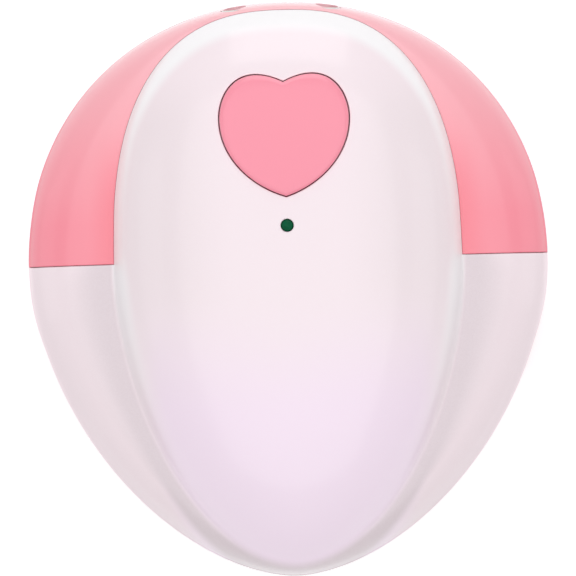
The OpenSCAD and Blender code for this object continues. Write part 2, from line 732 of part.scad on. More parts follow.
// Parts on the main board: each plan is [low x, low y, high x, high y]
part_z = board_z + board_t + touch;
can_plan = [-3, -21, 15, -7];
can_h = 4;
chip_plans = [[-14, -22, -6, -16], [-23.5, -21, -17.5, -16], [9, -5.5, 14, -1.5]];
chip_h = 1.5;
capacitor_places = [[-8.2, -10], [-15.5, -10], [-22.8, -10.5]];
capacitor_r = 3.15;
capacitor_h = 7.5;
crystal_plan = [-4.5, -5.8, 6, -1.3];
crystal_h = 3.5;
crystal_round = 2.2;

module shield_can() color("silver")
    block([can_plan[0], can_plan[1], part_z], [can_plan[2], can_plan[3], part_z + can_h]);

module signal_chips() color("black") for (p = chip_plans)
    block([p[0], p[1], part_z], [p[2], p[3], part_z + chip_h]);

module electrolytic_capacitors() color("midnightblue") for (p = capacitor_places)
    rod(p[0], p[1], part_z, part_z + capacitor_h, capacitor_r);

module oscillator_crystal() color("silver") round_plate([crystal_plan[0], crystal_plan[1], part_z],
    [crystal_plan[2], crystal_plan[3], part_z + crystal_h], crystal_round);

// ---- Volume ----

module volume_wheel() color("lightpink") difference() {
    translate([wheel_x, wheel_y, wheel_z]) linear_extrude(wheel_t)
        polygon([for (i = [0 : 4 * wheel_teeth - 1])
            let(a = 90 * i / wheel_teeth, r = wheel_r - (i % 4 < 2 ? 0 : tooth_h)) [r * cos(a), r * sin(a)]]);
    rod(wheel_x, wheel_y, wheel_z - overcut, wheel_z + wheel_t + overcut, shaft_r + pilot_gap);
    rod(wheel_x, wheel_y, wheel_z + wheel_t - dish_t, wheel_z + wheel_t + overcut, dish_r);
}

module pot_shaft() color("silver") difference() {
    rod(wheel_x, wheel_y, wheel_z + touch, board_z - 0.6, shaft_r);
    rod(wheel_x, wheel_y, wheel_z - overcut, wheel_z + 2.4, tack_r + pilot_gap);
}

module wheel_screw() color("silver") {
    rod(wheel_x, wheel_y, wheel_z - touch - 1, wheel_z - touch, wheel_head_r);
    rod(wheel_x, wheel_y, wheel_z - touch, wheel_z + 2.2, tack_r);
}

module volume_pot() color("dimgray") difference() {
    block([wheel_x - pot_w / 2, wheel_y - pot_w / 2, wheel_z + wheel_t + pot_gap],
        [wheel_x + pot_side, wheel_y + pot_w / 2, board_z - touch]);
    rod(wheel_x, wheel_y, wheel_z, board_z - 0.5, shaft_r + touch);
}

// ---- Probe ----

module probe_face() color("white") {
    rod(0, probe_y, 0, face_t, probe_r - seal_w - 2 * touch);
    rod(0, probe_y, face_t, spigot_top, cup_r);
}

module probe_seal() color("gray") difference() {
    rod(0, probe_y, seal_sunk, face_t, probe_r - touch);
    rod(0, probe_y, seal_sunk - overcut, face_t + overcut, probe_r - touch - seal_w);
}

module probe_cup() color("dimgray") difference() {
    rod(0, probe_y, spigot_top + touch, cup_top, cup_r);
    difference() {
        rod(0, probe_y, spigot_top, cup_top + overcut, cup_r - cup_t);
        block([-divider_t / 2, probe_y - cup_r, 0], [divider_t / 2, probe_y + cup_r, cup_top - 1]);
    }
}

module half_moon(side, r, low, high) {
    intersection() {
        rod(0, probe_y, low, high, r);
        translate([side * (divider_t / 2 + 0.3), probe_y - r, low])
            mirror([side > 0 ? 0 : 1, 0, 0]) cube([r, 2 * r, high - low]);
    }
}

module transmit_crystal() color("khaki") half_moon(-1, crystal_r, crystal_z, crystal_z + crystal_t);
module receive_crystal() color("khaki") half_moon(1, crystal_r, crystal_z, crystal_z + crystal_t);
module acoustic_backing() color("saddlebrown") for (s = [-1, 1])
    half_moon(s, backing_r, crystal_z + crystal_t + touch, cup_top - 1.2);

module probe_leads() color("tomato") for (s = [-1, 1], t = [-1, 1]) {
    z = crystal_z + crystal_t + touch;
    x = s * (backing_r + 0.9);
    y = probe_y + t * 2.5;
    inner_x = x - 2 * s * lead_bend;
    lead([[x, y, z], [x, y, z + lead_rise], [x, y, cup_top - lead_foot - 0.2],
        [x - s * lead_bend, y, cup_top], [inner_x, y, board_z - lead_foot], [inner_x, y, board_z - touch]],
        lead_r);
}

// ---- Fasteners ----

module case_screws() color("silver") for (p = case_posts) {
    rod(p[0], p[1], shelf_z - touch - screw_head_t, shelf_z - touch, screw_head_r);
    rod(p[0], p[1], shelf_z - touch, shelf_z + screw_l, screw_r);
}

module board_screws() color("silver") {
    for (p = board_posts) {
        rod(p[0], p[1], board_z + board_t + touch, board_z + board_t + tack_head_t, tack_head_r);
        rod(p[0], p[1], board_z + board_t - tack_l, board_z + board_t + touch, tack_r);
    }
    for (p = key_posts) {
        rod(p[0], p[1], key_z - tack_head_t, key_z - touch, tack_head_r);
        rod(p[0], p[1], key_z - touch, key_z + tack_l - 1.2, tack_r);
    }
}

front_case();
side_trim();
heart_button();
button_spring();
status_led();
led_leads();
led_spacer();
rear_case();
battery_door();
battery_pad();
battery_9v();
battery_terminals();
battery_snap();
battery_lead_red();
battery_lead_black();
key_board();
power_switch();
switch_plunger();
headphone_jack_left();
headphone_jack_right();
main_board();
board_ribbon();
volume_pot();
pot_shaft();
volume_wheel();
wheel_screw();
shield_can();
signal_chips();
electrolytic_capacitors();
oscillator_crystal();
probe_face();
probe_seal();
probe_cup();
transmit_crystal();
receive_crystal();
acoustic_backing();
probe_leads();
case_screws();
board_screws();
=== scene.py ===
# %% [markdown]
# # A palm-held fetal heartbeat doppler
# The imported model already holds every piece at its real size, with the button, the door and the wheel on
# their own bodies. This script only dresses it: shells get smooth skins, edges get their small radii, and
# every surface gets a finish. It is read from top to bottom, one step at a time.

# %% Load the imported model
import json
import math

import bmesh
import bpy
from mathutils import Matrix, Vector


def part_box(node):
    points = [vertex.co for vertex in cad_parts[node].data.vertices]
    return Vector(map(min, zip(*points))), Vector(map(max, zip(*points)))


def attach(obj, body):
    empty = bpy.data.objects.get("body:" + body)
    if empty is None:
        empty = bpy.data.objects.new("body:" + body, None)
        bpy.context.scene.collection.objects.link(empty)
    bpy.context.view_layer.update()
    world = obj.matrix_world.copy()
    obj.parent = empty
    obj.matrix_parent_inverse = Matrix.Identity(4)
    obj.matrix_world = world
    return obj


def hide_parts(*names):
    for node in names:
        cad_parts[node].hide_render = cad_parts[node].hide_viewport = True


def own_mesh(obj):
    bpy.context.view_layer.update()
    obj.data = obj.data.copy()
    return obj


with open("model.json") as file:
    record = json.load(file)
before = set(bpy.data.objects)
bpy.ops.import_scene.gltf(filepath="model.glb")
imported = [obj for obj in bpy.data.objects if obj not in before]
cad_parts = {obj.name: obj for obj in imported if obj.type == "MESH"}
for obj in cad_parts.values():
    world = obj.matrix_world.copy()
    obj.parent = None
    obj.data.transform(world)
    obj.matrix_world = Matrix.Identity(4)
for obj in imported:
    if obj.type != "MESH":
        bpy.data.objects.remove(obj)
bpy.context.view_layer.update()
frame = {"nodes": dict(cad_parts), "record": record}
print("nodes in the frame:", len(frame["nodes"]))

# %% [markdown]
# ## Sizes
# Plastic parts are drawn in millimetres, while Blender and the frame count in metres. So the lengths below
# are millimetres, and `MM` turns them into metres where a mesh is made. The driving ones are measured on the
# frame, which keeps the skins on the solids that they cover.

# %% Driving sizes, measured on the frame
MM = 0.001


def box_mm(node):
    low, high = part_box(node)
    return low / MM, high / MM


def solids_mm(node):
    """The low and high corner of each separate solid in a node."""
    bm = bmesh.new()
    bm.from_mesh(frame["nodes"][node].data)
    bmesh.ops.remove_doubles(bm, verts=bm.verts, dist=1e-6)
    left, found = set(bm.verts), []
    while left:
        group, reach = [], [left.pop()]
        while reach:
            vertex = reach.pop()
            group.append(vertex.co / MM)
            near = {edge.other_vert(vertex) for edge in vertex.link_edges} & left
            left -= near
            reach += near
        found.append([Vector([pick(co[axis] for co in group) for axis in range(3)]) for pick in (min, max)])
    bm.free()
    return sorted(found, key=lambda pair: tuple(pair[0]))


front_low, front_high = box_mm("front_case")
mid_y = 5.0
case_half_w = front_high.x
case_head = front_high.y - mid_y
case_tail = mid_y - front_low.y
crown_z = front_high.z
seam_z = box_mm("rear_case")[1].z
print(f"case {2 * case_half_w:.2f} x {case_head + case_tail:.2f} mm, seam at {seam_z:.2f} mm")

# %% Sizes of the shells
foot_z = 21.5
wall = 2.0
trim_t = 1.6
flange_z = seam_z + 1.2
line_gap = 0.15
lip_h = 1.5
lip_t = 1.2
bowl_w = 10.0
bowl_power = 2.4
case_head_power = 2.1
case_tail_power = 1.76
hood_half_w = 30.25
hood_head = case_head - 1.6
hood_tail = case_tail - 2.5
hood_head_power = 2.5
hood_tail_power = 1.84
ledge_t = trim_t + line_gap
edge_r = 0.25

# %% [markdown]
# ## Camera
# The product was photographed from almost straight above, a touch from its tail, with a long lens. The
# camera is placed first, so that every later choice can be checked against the same view. The frame's width
# at the seam's height gives the focal length, and a slight roll repeats the small turn in the picture.

# %% Camera
view_tilt = math.radians(89.2)
view_roll = math.radians(1.7)
view_distance = 2.0
view_width = 0.10045
view_target = Vector((-0.00018, 0.00015, seam_z * MM))


def add_object(name, data):
    obj = bpy.data.objects.new(name, data)
    bpy.context.scene.collection.objects.link(obj)
    return obj


def aim(obj, place, target, up):
    away = (place - target).normalized()
    right = up.cross(away).normalized()
    turned_up = away.cross(right)
    obj.matrix_world = Matrix.Translation(place) @ Matrix((right, turned_up, away)).transposed().to_4x4()


camera_data = bpy.data.cameras.new("photo_camera")
camera_data.lens = camera_data.sensor_width * view_distance / view_width
camera_data.clip_start = 0.01
camera = add_object("photo_camera", camera_data)
camera_place = view_target + view_distance * Vector((0, -math.cos(view_tilt), math.sin(view_tilt)))
aim(camera, camera_place, view_target, Vector((math.sin(view_roll), math.cos(view_roll), 0)))
bpy.context.scene.camera = camera
print(f"lens {camera_data.lens:.0f} mm")

# %% [markdown]
# ## Shader maths
# A procedural finish is a small calculation at each point of a surface. Written node by node it is hard to
# read, so `Value` wraps a socket and lets Python's own operators add the Math nodes. `Nodes` has one method
# that makes any other node, settings first and then sockets, and a `Finish` is such a tree for one material.

# %% A socket that can be used in an expression
def feed(tree, socket, value):
    if isinstance(value, Value):
        tree.links.new(value.socket, socket)
    elif value is not None:
        socket.default_value = value


class Value:
    def __init__(self, tree, socket):
        self.tree = tree
        self.socket = socket

    def math(self, operation, first, second=0.0):
        node = self.tree.nodes.new("ShaderNodeMath")
        node.operation = operation
        feed(self.tree, node.inputs[0], first)
        feed(self.tree, node.inputs[1], second)
        return Value(self.tree, node.outputs[0])

    def __add__(self, other):
        return self.math("ADD", self, other)

    def __sub__(self, other):
        return self.math("SUBTRACT", self, other)

    def __mul__(self, other):
        return self.math("MULTIPLY", self, other)

    def __truediv__(self, other):
        return self.math("DIVIDE", self, other)

    def __rsub__(self, other):
        return self.math("SUBTRACT", other, self)

    def __gt__(self, other):
        return self.math("GREATER_THAN", self, other)

    def __lt__(self, other):
        return self.math("LESS_THAN", self, other)

    def __pow__(self, exponent):
        return self.math("POWER", self, exponent)

    def __abs__(self):
        return self.math("ABSOLUTE", self)

    __radd__ = __add__
    __rmul__ = __mul__

    def clamped(self):
        return self.math("MAXIMUM", self.math("MINIMUM", self, 1.0), 0.0)

    def rise(self, low, high):
        """0 below low, 1 above high, and a smooth step between them."""
        share = ((self - low) / (high - low)).clamped()
        return share * share * (3 - 2 * share)


# %% A material under construction
def linear(red, green, blue):
    """A colour given as 0-255 screen values, as the shader's linear colour."""
    shares = [v / 255 for v in (red, green, blue)]
    return tuple(v / 12.92 if v < 0.04045 else ((v + 0.055) / 1.055) ** 2.4 for v in shares) + (1.0,)


def darker(colour, share):
    return tuple(channel * share for channel in colour[:3]) + (1.0,)


class Nodes:
    def node(self, kind, settings=None, sockets=None, out=0):
        """Makes a node, gives it its settings and its sockets, and returns one of its outputs."""
        node = self.tree.nodes.new(kind)
        for name, value in (settings or {}).items():
            setattr(node, name, value)
        for name, value in (sockets or {}).items():
            feed(self.tree, node.inputs[name], value)
        return Value(self.tree, node.outputs[out])


finishes = {}


class Finish(Nodes):
    def __init__(self, name):
        self.material = finishes[name] = bpy.data.materials.new(name)
        self.material.use_nodes = True
        self.tree = self.material.node_tree
        self.shader = self.tree.nodes["Principled BSDF"]
        self.place = self.node("ShaderNodeTexCoord", out="Object")

    def mix(self, factor, first, second):
        return self.node("ShaderNodeMix", {"data_type": "RGBA"}, {0: factor, 6: first, 7: second}, out=2)

    def noise(self, scale, detail=2.0):
        return self.node("ShaderNodeTexNoise", None, {"Vector": self.place, "Scale": scale, "Detail": detail})

    def axis(self, letter):
        return self.node("ShaderNodeSeparateXYZ", None, {"Vector": self.place}, out=letter)

    def bump(self, height, depth):
        relief = {"Height": height, "Distance": depth, "Strength": 1.0}
        self.surface(Normal=self.node("ShaderNodeBump", None, relief))

    def surface(self, **sockets):
        for name, value in sockets.items():
            feed(self.tree, self.shader.inputs[name.replace("_", " ")], value)


print("the shader kit is ready")

# %% [markdown]
# ## Finishes
# Moulded plastic is never one flat colour: its pigment drifts a little over centimetres, its gloss varies
# with the polish of the mould, and a fine grain catches the light. `moulded` mixes these three for any
# colour. The grain and drift use Object coordinates, so they stay put when a piece moves.

# %% Moulded plastic
drift_scale = 45.0
grain_scale = 2600.0
fine_grain = 0.000004
coarse_grain = 0.000012


def moulded(name, colour, rough, grain=fine_grain, coat=0.0):
    finish = Finish(name)
    cloud = finish.noise(drift_scale, 3.0)
    finish.bump(finish.noise(grain_scale, 3.0), grain)
    finish.surface(
        Base_Color=finish.mix(cloud, darker(colour, 0.94), colour), Roughness=rough + 0.12 * (cloud - 0.5),
        Coat_Weight=coat, Coat_Roughness=0.08)


moulded("white_plastic", linear(238, 236, 232), rough=0.4)
moulded("black_plastic", linear(30, 30, 32), rough=0.45, grain=coarse_grain)
moulded("dark_plastic", linear(58, 58, 62), rough=0.5, grain=coarse_grain)
print("plain plastics mixed")

# %% [markdown]
# The shells are a glossy pearl white under a clear skin. The hood is pinkish white and its tail cools to
# lavender. A painted highlight whitens it along its head rim, and painted shade greys two bands on its
# flanks.
# The skirt is a little greyer, and painted shade darkens it towards the crease at the hood's foot. All of
# this follows the hood's outline, so the finish first asks the mould's own question: is a point inside the
# hood's egg? Each pair of numbers is where a change of tone starts and ends: `_band` counts in that measure,
# and the others in millimetres along X or Y.

# %% Pearl white of the shells
pearl_hood = linear(252, 236, 242)
# Painted shade for two bands on the hood's flanks:
pearl_flank_shade = linear(246, 231, 236)
# Painted highlight along the hood's head rim:
pearl_rim_highlight = linear(255, 253, 255)
pearl_tail = linear(253, 233, 250)
pearl_skirt = linear(248, 231, 237)
# Painted shade in the crease at the hood's foot:
pearl_crease_shade = linear(224, 209, 215)
pearl_flake = linear(255, 250, 255)
pearl_rough = 0.38
foot_band = (0.985, 1.06)
flank_shade_out = (8.0, 20.0)
flank_shade_from = (-14.0, 6.0)
flank_shade_to = (28.0, 40.0)
rim_highlight_band = (0.82, 0.94)
rim_highlight_from = (-28.0, 8.0)
rim_highlight_wide_from = (25.0, 45.0)
lavender_from = (0.0, 23.0)
lavender_band = (0.9, 1.17)
crease_shade_from = 1.12
crease_shade_tail = -34.0
crease_shade_narrow = 0.08
crease_shade_wide = 0.5
flake_scale = 5200.0


def hood_measure(x, y):
    """1 on the hood's outline, less inside it and more outside; its two halves blend at the widest line."""
    behind = 1 - y.rise(mid_y - 4, mid_y + 4)
    power = hood_head_power + behind * (hood_tail_power - hood_head_power)
    length = hood_head + behind * (hood_tail - hood_head)
    return (abs(x) / hood_half_w) ** power + (abs(y - mid_y) / length) ** power


def pearl():
    finish = Finish("pearl_shell")
    x, y, z = (finish.axis(letter) / MM for letter in "XYZ")
    hood = hood_measure(x, y)
    upper = z > seam_z
    outside = 1 - upper * (1 - hood.rise(*foot_band))
    cloud = finish.noise(38.0, 3.0)
    # Painted shade: two soft grey bands on the hood's flanks, where the dome falls away from the overhead
    # light.
    flank_shade = abs(x).rise(*flank_shade_out) * y.rise(*flank_shade_from) * (1 - y.rise(*flank_shade_to))
    # Painted highlight: the hood whitens along its head rim, most at the head end.
    rim = (hood + 0.06 * y.rise(*rim_highlight_wide_from)).rise(*rim_highlight_band) * y.rise(*rim_highlight_from)
    cooled = (8 * (cloud - 0.5) - y).rise(*lavender_from)
    lavender = cooled * (1 - (hood + 0.012 * (y + 30)).rise(*lavender_band))
    # Painted shade in the crease at the hood's foot, wide at the sides and narrow at the tail.
    crease_shade_spread = crease_shade_narrow + crease_shade_wide * ((y - crease_shade_tail) / 30).clamped()
    crease_shade = outside * upper * (1 - ((hood - crease_shade_from) / crease_shade_spread).rise(0.0, 1.0))
    colour = finish.mix(flank_shade, pearl_hood, pearl_flank_shade)
    colour = finish.mix(outside, finish.mix(rim, colour, pearl_rim_highlight), pearl_skirt)
    colour = finish.mix(lavender * upper, colour, pearl_tail)
    colour = finish.mix(crease_shade, colour, pearl_crease_shade)
    flakes = finish.node(
        "ShaderNodeTexVoronoi", {"feature": "F1"}, {"Vector": finish.place, "Scale": flake_scale},
        out="Color")
    sparkle = finish.node("ShaderNodeSeparateXYZ", None, {"Vector": flakes}, out="X")
    finish.bump(finish.noise(2400.0, 2.0), 0.000002)
    finish.surface(
        Base_Color=finish.mix(0.08 * sparkle, colour, pearl_flake),
        Roughness=pearl_rough + 0.04 * (sparkle - 0.5), Coat_Weight=0.9, Coat_Roughness=0.12)


pearl()
print("pearl mixed")

# %% [markdown]
# The trim is a salmon pink. Painted light pales it towards the head end, and painted shade deepens it where
# it folds down to the hood's foot. The heart is a slightly cooler pink. The lamp's lens is dark bottle-green
# plastic.

# %% Pinks and the green lens
def glossy_pink(name, near, far, fold_shade, from_y, to_y):
    """From near to far along Y, a painted light that pales it towards the head end, with painted shade where
    it folds down to the hood's foot.
    """
    finish = Finish(name)
    x, y = finish.axis("X") / MM, finish.axis("Y") / MM
    cloud = finish.noise(60.0, 2.0)
    # Painted light: the pink pales from near to far, towards the head end.
    along = ((y - from_y) / (to_y - from_y)).clamped() + 0.12 * (cloud - 0.5)
    hood = hood_measure(x, y)
    # Painted shade deepens the pink where the trim folds down to the hood's foot.
    fold_shade_mask = (1 - hood.rise(1.02, 1.45)) * (1 - y.rise(12.0, 30.0)) * (hood > 0.99)
    finish.bump(finish.noise(2400.0, 2.0), 0.000003)
    finish.surface(
        Base_Color=finish.mix(fold_shade_mask, finish.mix(along.clamped(), near, far), fold_shade),
        Roughness=pearl_rough + 0.04 * (cloud - 0.5), Coat_Weight=0.9, Coat_Roughness=0.12)


glossy_pink(
    "pink_trim", near=linear(255, 142, 159), far=linear(255, 192, 200), fold_shade=linear(252, 130, 146),
    from_y=12.0, to_y=50.0)
glossy_pink(
    "heart_pink", near=linear(255, 144, 166), far=linear(255, 147, 168), fold_shade=linear(255, 145, 166),
    from_y=16.0, to_y=38.0)


def lens_green():
    finish = Finish("green_lens")
    depth = finish.noise(900.0, 2.0)
    finish.surface(
        Base_Color=finish.mix(depth, linear(0, 74, 44), linear(2, 102, 66)), Roughness=0.07 + 0.04 * depth,
        Specular_IOR_Level=0.08)


lens_green()
print("pinks and green mixed")

# %% [markdown]
# Metals differ mostly in roughness: a brushed or rolled surface has fine lines, which here come from a noise
# stretched along one axis. Foam, ceramic, the battery's wrap and the boards get their own small patterns.

# %% Metals
rolled_lines = (300.0, 3000.0, 3000.0)


def metal(name, colour, rough):
    finish = Finish(name)
    stretched = finish.node(
        "ShaderNodeVectorMath", {"operation": "MULTIPLY"}, {0: finish.place, 1: rolled_lines})
    lines = finish.node("ShaderNodeTexNoise", None, {"Vector": stretched, "Scale": 1.0, "Detail": 3.0})
    finish.bump(lines, 0.000003)
    finish.surface(
        Base_Color=finish.mix(lines, darker(colour, 0.82), colour), Metallic=1.0,
        Roughness=rough + 0.16 * (lines - 0.5))


metal("spring_steel", linear(190, 190, 192), rough=0.28)
metal("tinned_metal", linear(205, 205, 200), rough=0.35)
metal("zinc_screw", linear(196, 200, 204), rough=0.3)
print("metals mixed")

# %% Foam, wrap, boards and the small coloured parts
def foam_grey():
    finish = Finish("foam")
    cells = finish.node(
        "ShaderNodeTexVoronoi", {"feature": "DISTANCE_TO_EDGE"}, {"Vector": finish.place, "Scale": 1800.0})
    finish.bump(cells, 0.0002)
    finish.surface(
        Base_Color=finish.mix((3 * cells).clamped(), linear(44, 44, 46), linear(84, 84, 88)), Roughness=0.95)


def board_green():
    finish = Finish("board_green")
    grid = finish.node(
        "ShaderNodeTexBrick", {"offset": 0.37},
        {"Vector": finish.place, "Scale": 420.0, "Mortar Size": 0.06, "Mortar Smooth": 0.3}, out="Fac")
    cloud = finish.noise(150.0, 2.0)
    finish.bump(grid, 0.00002)
    finish.surface(
        Base_Color=finish.mix(grid, linear(18, 84, 52), linear(34, 116, 70)), Roughness=0.32 + 0.1 * cloud,
        Coat_Weight=0.3)


rim_w = 1.1
copper_w = 12.5


def wrapped_cell(low_x, high_x):
    """The battery's printed wrap: a copper band at the terminal end, and rolled tin rims at both ends."""
    finish = Finish("cell_wrap")
    x = finish.axis("X") / MM
    rim = (x < low_x + rim_w) + (x > high_x - rim_w)
    copper = x > high_x - copper_w
    body = finish.mix(copper, linear(34, 36, 42), linear(186, 112, 62))
    scuff = finish.noise(700.0, 4.0)
    finish.bump(scuff, 0.000006)
    finish.surface(
        Base_Color=finish.mix(rim.clamped(), body, linear(190, 190, 186)),
        Metallic=(0.9 * rim + 0.75 * copper).clamped(), Roughness=0.3 + 0.15 * scuff)


foam_grey()
board_green()
cell_low, cell_high = box_mm("battery_9v")
wrapped_cell(cell_low.x, cell_high.x)
moulded("lead_red", linear(196, 30, 30), rough=0.45)
moulded("lead_black", linear(24, 24, 26), rough=0.5)
moulded("lead_orange", linear(222, 112, 52), rough=0.45)
moulded("ribbon_grey", linear(176, 178, 180), rough=0.5)
moulded("capacitor_sleeve", linear(28, 38, 74), rough=0.3, coat=0.4)
moulded("acoustic_face", linear(226, 222, 224), rough=0.36, grain=0.00001)
moulded("gasket", linear(142, 140, 146), rough=0.7, grain=0.00002)
moulded("ceramic", linear(206, 192, 150), rough=0.6, grain=0.00002)
moulded("backing", linear(110, 70, 48), rough=0.8, grain=0.00005)
print("materials:", len(finishes))

# %% [markdown]
# ## Shape formulas
# The case is an egg in plan: one rounded-power curve for the head half and another for the tail half, which
# share their widest line. The hood is a smaller egg inside it with a dome on top, and the skirt is a quarter
# ellipse from the seam up to the hood. A soft maximum of the two gives the gentle valley behind the widest
# line and the crisp one in front of it. Formulas are used rather than sculpting, because the same ones
# shaped the solids.

# %% Outline and surface formulas
power_turn = 0.35
dome_power = 3.0
dome_spread = 1.03
valley_hard = 0.4
valley_soft = 1.2
roof_soft = 1.0
roof_least = 0.8
dome_at_foot = math.sqrt(1 - dome_spread ** -dome_power)
spring_z = (foot_z - dome_at_foot * crown_z) / (1 - dome_at_foot)


def clamp(v):
    return min(1.0, max(0.0, v))


def ease(v):
    """A smooth step from 0 to 1."""
    v = clamp(v)
    return v * v * (3 - 2 * v)


def quarter(steps):
    """Turns from 0 to a right angle in equal steps."""
    return [math.pi / 2 * i / steps for i in range(steps + 1)]


def between(start, end, share):
    """The plan point at a share of the way from start to end."""
    return [a + (b - a) * share for a, b in zip(start, end)]


def egg(turn, half_w, up, down, up_power, down_power):
    s = math.sin(turn)
    reach, end_power = (up, up_power) if s > 0 else (down, down_power)
    power = 2 + (end_power - 2) * ease(abs(s) / power_turn)
    return ((abs(math.cos(turn)) / half_w) ** power + (abs(s) / reach) ** power) ** (-1 / power)


def case_r(turn):
    return egg(turn, case_half_w, case_head, case_tail, case_head_power, case_tail_power)


def hood_r(turn):
    return egg(turn, hood_half_w, hood_head, hood_tail, hood_head_power, hood_tail_power)


def skirt_z(turn, reach):
    edge = case_r(turn)
    share = clamp((edge - reach) / (edge - hood_r(turn)))
    return seam_z + (foot_z - seam_z) * math.sqrt(1 - (1 - share) ** 2)


def dome_z(turn, reach):
    share = min(1.0, reach / (hood_r(turn) * dome_spread))
    return spring_z + (crown_z - spring_z) * math.sqrt(1 - share ** dome_power)


def soft_max(a, b, softness):
    h = max(softness - abs(a - b), 0.0) / softness
    return max(a, b) + h * h * softness / 4


def top_z(turn, reach):
    softness = valley_hard + (valley_soft - valley_hard) * ease(-math.sin(turn) / power_turn)
    return soft_max(skirt_z(turn, reach), dome_z(turn, reach), softness)


def roof_z(turn, reach, under):
    """The inside of the front shell: the skirt lies under below its skin, and the dome a wall below."""
    roof = soft_max(skirt_z(turn, reach + under) - under, dome_z(turn, reach + wall) - wall, roof_soft)
    return max(roof, seam_z + roof_least)


def polar(x, y):
    return math.atan2(y - mid_y, x), math.hypot(x, y - mid_y)


def over(x, y, lift=0.0):
    """The point of the outer skin over a place in plan."""
    return (x, y, top_z(*polar(x, y)) + lift)


def around(turn, reach, z):
    return (reach * math.cos(turn), mid_y + reach * math.sin(turn), z)


print(f"hood over the heart's middle: {top_z(*polar(0.0, 26.0)):.2f} mm")

# %% [markdown]
# The heart is two cubic curves, mirrored. It is asked for by the turn round its own middle, so that the
# rings of the hood's mesh can start as hearts and end as the hood's egg: then the button's opening needs no
# cutting, and its edge is clean from every side.

# %% Heart outline
heart_low, heart_high = box_mm("heart_button")
flange_grow = 1.05
heart_half_w = heart_high.x - flange_grow
heart_y = 26.0
heart_unit = 11.2
heart_upper = ((0.0, 9.57), (8.1, 13.64), (11.2, 7.42), (11.2, 3.27))
heart_lower = ((11.2, 3.27), (11.2, -3.1), (6.25, -8.3), (0.0, -10.24))


def cubic(points, t):
    s = 1 - t
    shares = (s * s * s, 3 * s * s * t, 3 * s * t * t, t * t * t)
    return [sum(share * point[axis] for share, point in zip(shares, points)) for axis in (0, 1)]


def heart_at(turn, grow=0.0):
    """Plan point of the heart's outline for a turn from -90 to 270 degrees."""
    side = 1 if math.cos(turn) >= 0 else -1
    lean = math.asin(math.sin(turn)) / (math.pi / 2)
    x, y = cubic(heart_upper, 1 - lean) if lean >= 0 else cubic(heart_lower, -lean)
    scale = (heart_half_w + grow) / heart_unit
    return side * x * scale, heart_y + y * scale


print(f"heart {2 * heart_half_w:.1f} mm wide")

# %% [markdown]
# ## Mesh tools
# Nearly every piece here is a skin over columns of points (`loft`) or a turned profile (`turned`). Both
# return points and faces, so that several can be merged into one mesh before Blender sees it. `make` turns
# such a shape into an object, checks its signed volume and flips it if it came out inside out.

# %% Lofts and turned profiles
def loft(columns, ring=True, loop=True, poles=None):
    n, m = len(columns), len(columns[0])
    points = [p for column in columns for p in column]
    faces = []
    for j in range(n if ring else n - 1):
        k = (j + 1) % n
        for i in range(m if loop else m - 1):
            h = (i + 1) % m
            faces.append([j * m + i, k * m + i, k * m + h, j * m + h])
        if poles:
            faces.append([n * m, k * m, j * m])
            faces.append([n * m + 1, j * m + m - 1, k * m + m - 1])
    if poles:
        points += list(poles)
    if not ring:
        faces.append(list(range(m)))
        faces.append([(n - 1) * m + i for i in reversed(range(m))])
    return points, faces


def turned(profile, centre=(0.0, 0.0), count=96, axis="Z"):
    """Turns (radius, height) points round an axis through centre, which is given in the other two axes.
    A profile whose ends have no radius is closed by poles, and any other is closed on itself."""
    solid = profile[0][0] == 0 and profile[-1][0] == 0
    rim = profile[1:-1] if solid else profile

    def place(radius, height, turn):
        u, v = centre[0] + radius * math.cos(turn), centre[1] + radius * math.sin(turn)
        return {"X": (height, u, v), "Y": (u, height, v), "Z": (u, v, height)}[axis]

    columns = [[place(r, z, 2 * math.pi * j / count) for r, z in rim] for j in range(count)]
    poles = (place(0, profile[0][1], 0), place(0, profile[-1][1], 0)) if solid else None
    return loft(columns, loop=not solid, poles=poles)


def merged(*shapes):
    points, faces = [], []
    for some_points, some_faces in shapes:
        shift = len(points)
        points += some_points
        faces += [[i + shift for i in face] for face in some_faces]
    return points, faces


# %% Blocks with soft edges
def soft_block(low, high, radius, segments=3):
    bm = bmesh.new()
    bmesh.ops.create_cube(bm, size=1.0)
    for vertex in bm.verts:
        vertex.co = Vector([(a + b) / 2 + c * (b - a) for a, b, c in zip(low, high, vertex.co)])
    bmesh.ops.bevel(bm, geom=bm.edges[:], offset=radius, segments=segments, profile=0.5, affect="EDGES")
    bm.verts.index_update()
    points = [tuple(v.co) for v in bm.verts]
    faces = [[v.index for v in face.verts] for face in bm.faces]
    bm.free()
    return points, faces


# %% From a shape to an object
smooth_angle = math.radians(35)


def finish_mesh(mesh):
    mesh.shade_smooth()
    mesh.set_sharp_from_angle(angle=smooth_angle)


def make(name, shape):
    points, faces = shape
    mesh = bpy.data.meshes.new(name)
    mesh.from_pydata([Vector(p) * MM for p in points], [], faces)
    bm = bmesh.new()
    bm.from_mesh(mesh)
    if bm.calc_volume(signed=True) < 0:
        bmesh.ops.reverse_faces(bm, faces=bm.faces)
    bm.to_mesh(mesh)
    bm.free()
    finish_mesh(mesh)
    return add_object(name, mesh)


def settle(obj):
    """Turns the object's modifiers into plain mesh."""
    graph = bpy.context.evaluated_depsgraph_get()
    mesh = bpy.data.meshes.new_from_object(obj.evaluated_get(graph))
    obj.modifiers.clear()
    obj.data = mesh
    finish_mesh(mesh)
    return obj


def carve(obj, *tools, operation="DIFFERENCE"):
    """Cuts tools out of obj, or welds them on with UNION, one after the other."""
    for tool in tools:
        step = obj.modifiers.new("carve", "BOOLEAN")
        step.operation = operation
        step.solver = "EXACT"
        step.object = tool
        settle(obj)
        bpy.data.objects.remove(tool)
    return obj


